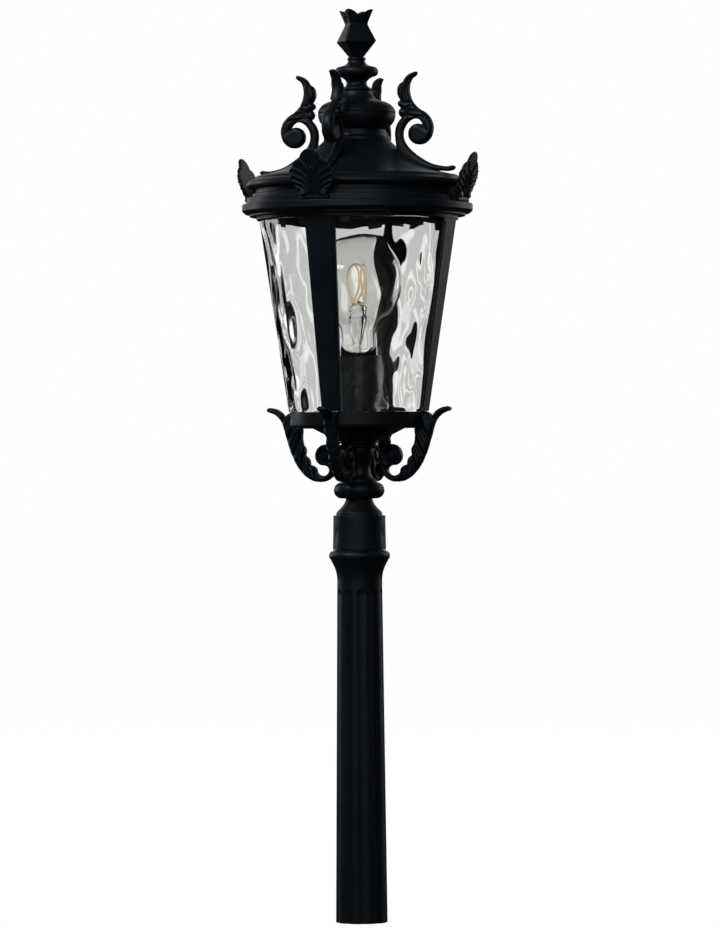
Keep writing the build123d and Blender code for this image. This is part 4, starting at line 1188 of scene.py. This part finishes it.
class POSTLIGHT_OT_lamp(bpy.types.Operator):
    """Makes the globe lamp: its envelope, glass stem and hairpin filaments"""

    bl_idname = "post_light.lamp"
    bl_label = "Globe Lamp"

    globe_r = 47.5
    globe_rise = 76.0
    neck_r = 17.0
    wall = 1.2
    stem_steps = 64
    pairs = 3
    first_pair = -84.0
    loop_foot = 52.0
    loop_rise = 41.0
    loop_width = 12.5
    loop_out = 6.2
    loop_thick = 1.1
    loop_open = 0.04
    loop_steps = 40
    loop_sides = 8

    def execute(self, context):
        sizes = context.scene.post_light_sizes
        base = foot("lamp_globe")
        outside, inside = self.envelope(0.0), self.envelope(self.wall)
        dressed("lamp_envelope", turned(outside + inside[::-1], base, 0, sizes.lathe_steps), "lamp_globe",
                flat_faces=False)
        flare = curve((13.6, 0.4), (6.0, 1.0), (2.3, 1.6), (2.2, 4.0), 8)
        cone = curve((2.2, 8.0), (2.8, 16.0), (5.4, 28.0), (7.4, 36.0), 8)
        band = [(8.2, 36.6), (8.6, 38.0), (8.2, 39.6), (7.5, 40.6), (7.5, 45.0), (8.2, 45.8), (8.6, 47.4),
                (8.2, 49.0), (6.6, 50.6), (4.4, 53.6), (1.8, 55.6)]
        core = [(0, 56.0), (0, 52.6), (3.4, 51.4), (5.8, 49.0), (6.3, 47.0), (6.3, 39.0), (5.6, 36.0),
                (1.2, 9.0), (1.2, 0.4)]
        bm = turned(flare + cone + band + core, base, 0, self.stem_steps)
        dressed("lamp_stem", bm, "lamp_mount")
        bm = bmesh.new()
        for pair in range(self.pairs):
            self.hairpin(bm, self.first_pair + 360.0 * pair / self.pairs, base + self.loop_foot)
        dressed("lamp_hairpins", bm, "lamp_filaments", flat_faces=False)
        return {"FINISHED"}

    def envelope(self, shrink):
        """Outline of the blown glass, from its neck to its crown."""
        r, neck = self.globe_r - shrink, self.neck_r - shrink
        low = arc((0, self.globe_rise), r, -60, 90, 40)
        throat = curve((neck, 12.0), (neck, 24.0), (low[0][0] - 8.0, low[0][1] - 4.7), low[0], 12)
        return [(neck, 0.0)] + throat[:-1] + low[:-1] + [(0, self.globe_rise + r)]

    def hairpin(self, bm, bearing, base):
        """One long drop-shaped loop of filament, with both feet on the stem."""
        turn = Matrix.Rotation(math.radians(bearing), 3, "Z")
        points = []
        for i in range(self.loop_steps + 1):
            t = 2 * math.pi * (self.loop_open + (1 - 2 * self.loop_open) * i / self.loop_steps)
            up = self.loop_rise * (1 - math.cos(t)) / 2
            side = self.loop_width * math.sin(t) * math.sin(t / 2) ** 1.2
            points.append(turn @ Vector((self.loop_out, side, base + up)))
        add_rod(bm, points, self.loop_thick, self.loop_sides)


# Pieces that stay as they were packed


class POSTLIGHT_OT_fittings(bpy.types.Operator):
    """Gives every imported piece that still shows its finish"""

    bl_idname = "post_light.fittings"
    bl_label = "Fittings"

    def execute(self, context):
        for name, node in frame["nodes"].items():
            if node.hide_render:
                continue
            node.data.materials.clear()
            node.data.materials.append(finish(SLOT_OF[name]))
        return {"FINISHED"}


class POSTLIGHT_PT_panel(bpy.types.Panel):
    """Lists the post light's pieces"""

    bl_idname = "POSTLIGHT_PT_panel"
    bl_label = "Post Light"
    bl_space_type = "VIEW_3D"
    bl_region_type = "UI"
    bl_category = "Post Light"

    def draw(self, context):
        for operator in OPERATORS:
            self.layout.operator(operator.bl_idname)
        for name, group in GROUPS.items():
            for value in group.__annotations__:
                self.layout.prop(getattr(context.scene, name), value)


OPERATORS = (
    POSTLIGHT_OT_stage, POSTLIGHT_OT_post, POSTLIGHT_OT_turnings, POSTLIGHT_OT_crown, POSTLIGHT_OT_glass,
    POSTLIGHT_OT_clips, POSTLIGHT_OT_brackets, POSTLIGHT_OT_scrolls, POSTLIGHT_OT_palmettes,
    POSTLIGHT_OT_lamp, POSTLIGHT_OT_fittings,
)
GROUPS = {
    "post_light_sizes": PostLightSizes, "post_light_colours": PostLightColours,
    "post_light_stage": PostLightStage,
}


def register():
    for name, group in GROUPS.items():
        bpy.utils.register_class(group)
        setattr(bpy.types.Scene, name, PointerProperty(type=group))
    for operator in OPERATORS:
        bpy.utils.register_class(operator)
    bpy.utils.register_class(POSTLIGHT_PT_panel)


def unregister():
    bpy.utils.unregister_class(POSTLIGHT_PT_panel)
    for operator in reversed(OPERATORS):
        bpy.utils.unregister_class(operator)
    for name, group in GROUPS.items():
        delattr(bpy.types.Scene, name)
        bpy.utils.unregister_class(group)


def main():
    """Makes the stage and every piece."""
    register()
    bpy.ops.post_light.stage()
    bpy.ops.post_light.post()
    bpy.ops.post_light.turnings()
    bpy.ops.post_light.crown()
    bpy.ops.post_light.glass()
    bpy.ops.post_light.clips()
    bpy.ops.post_light.brackets()
    bpy.ops.post_light.scrolls()
    bpy.ops.post_light.palmettes()
    bpy.ops.post_light.lamp()
    bpy.ops.post_light.fittings()


if __name__ == "__main__":
    main()
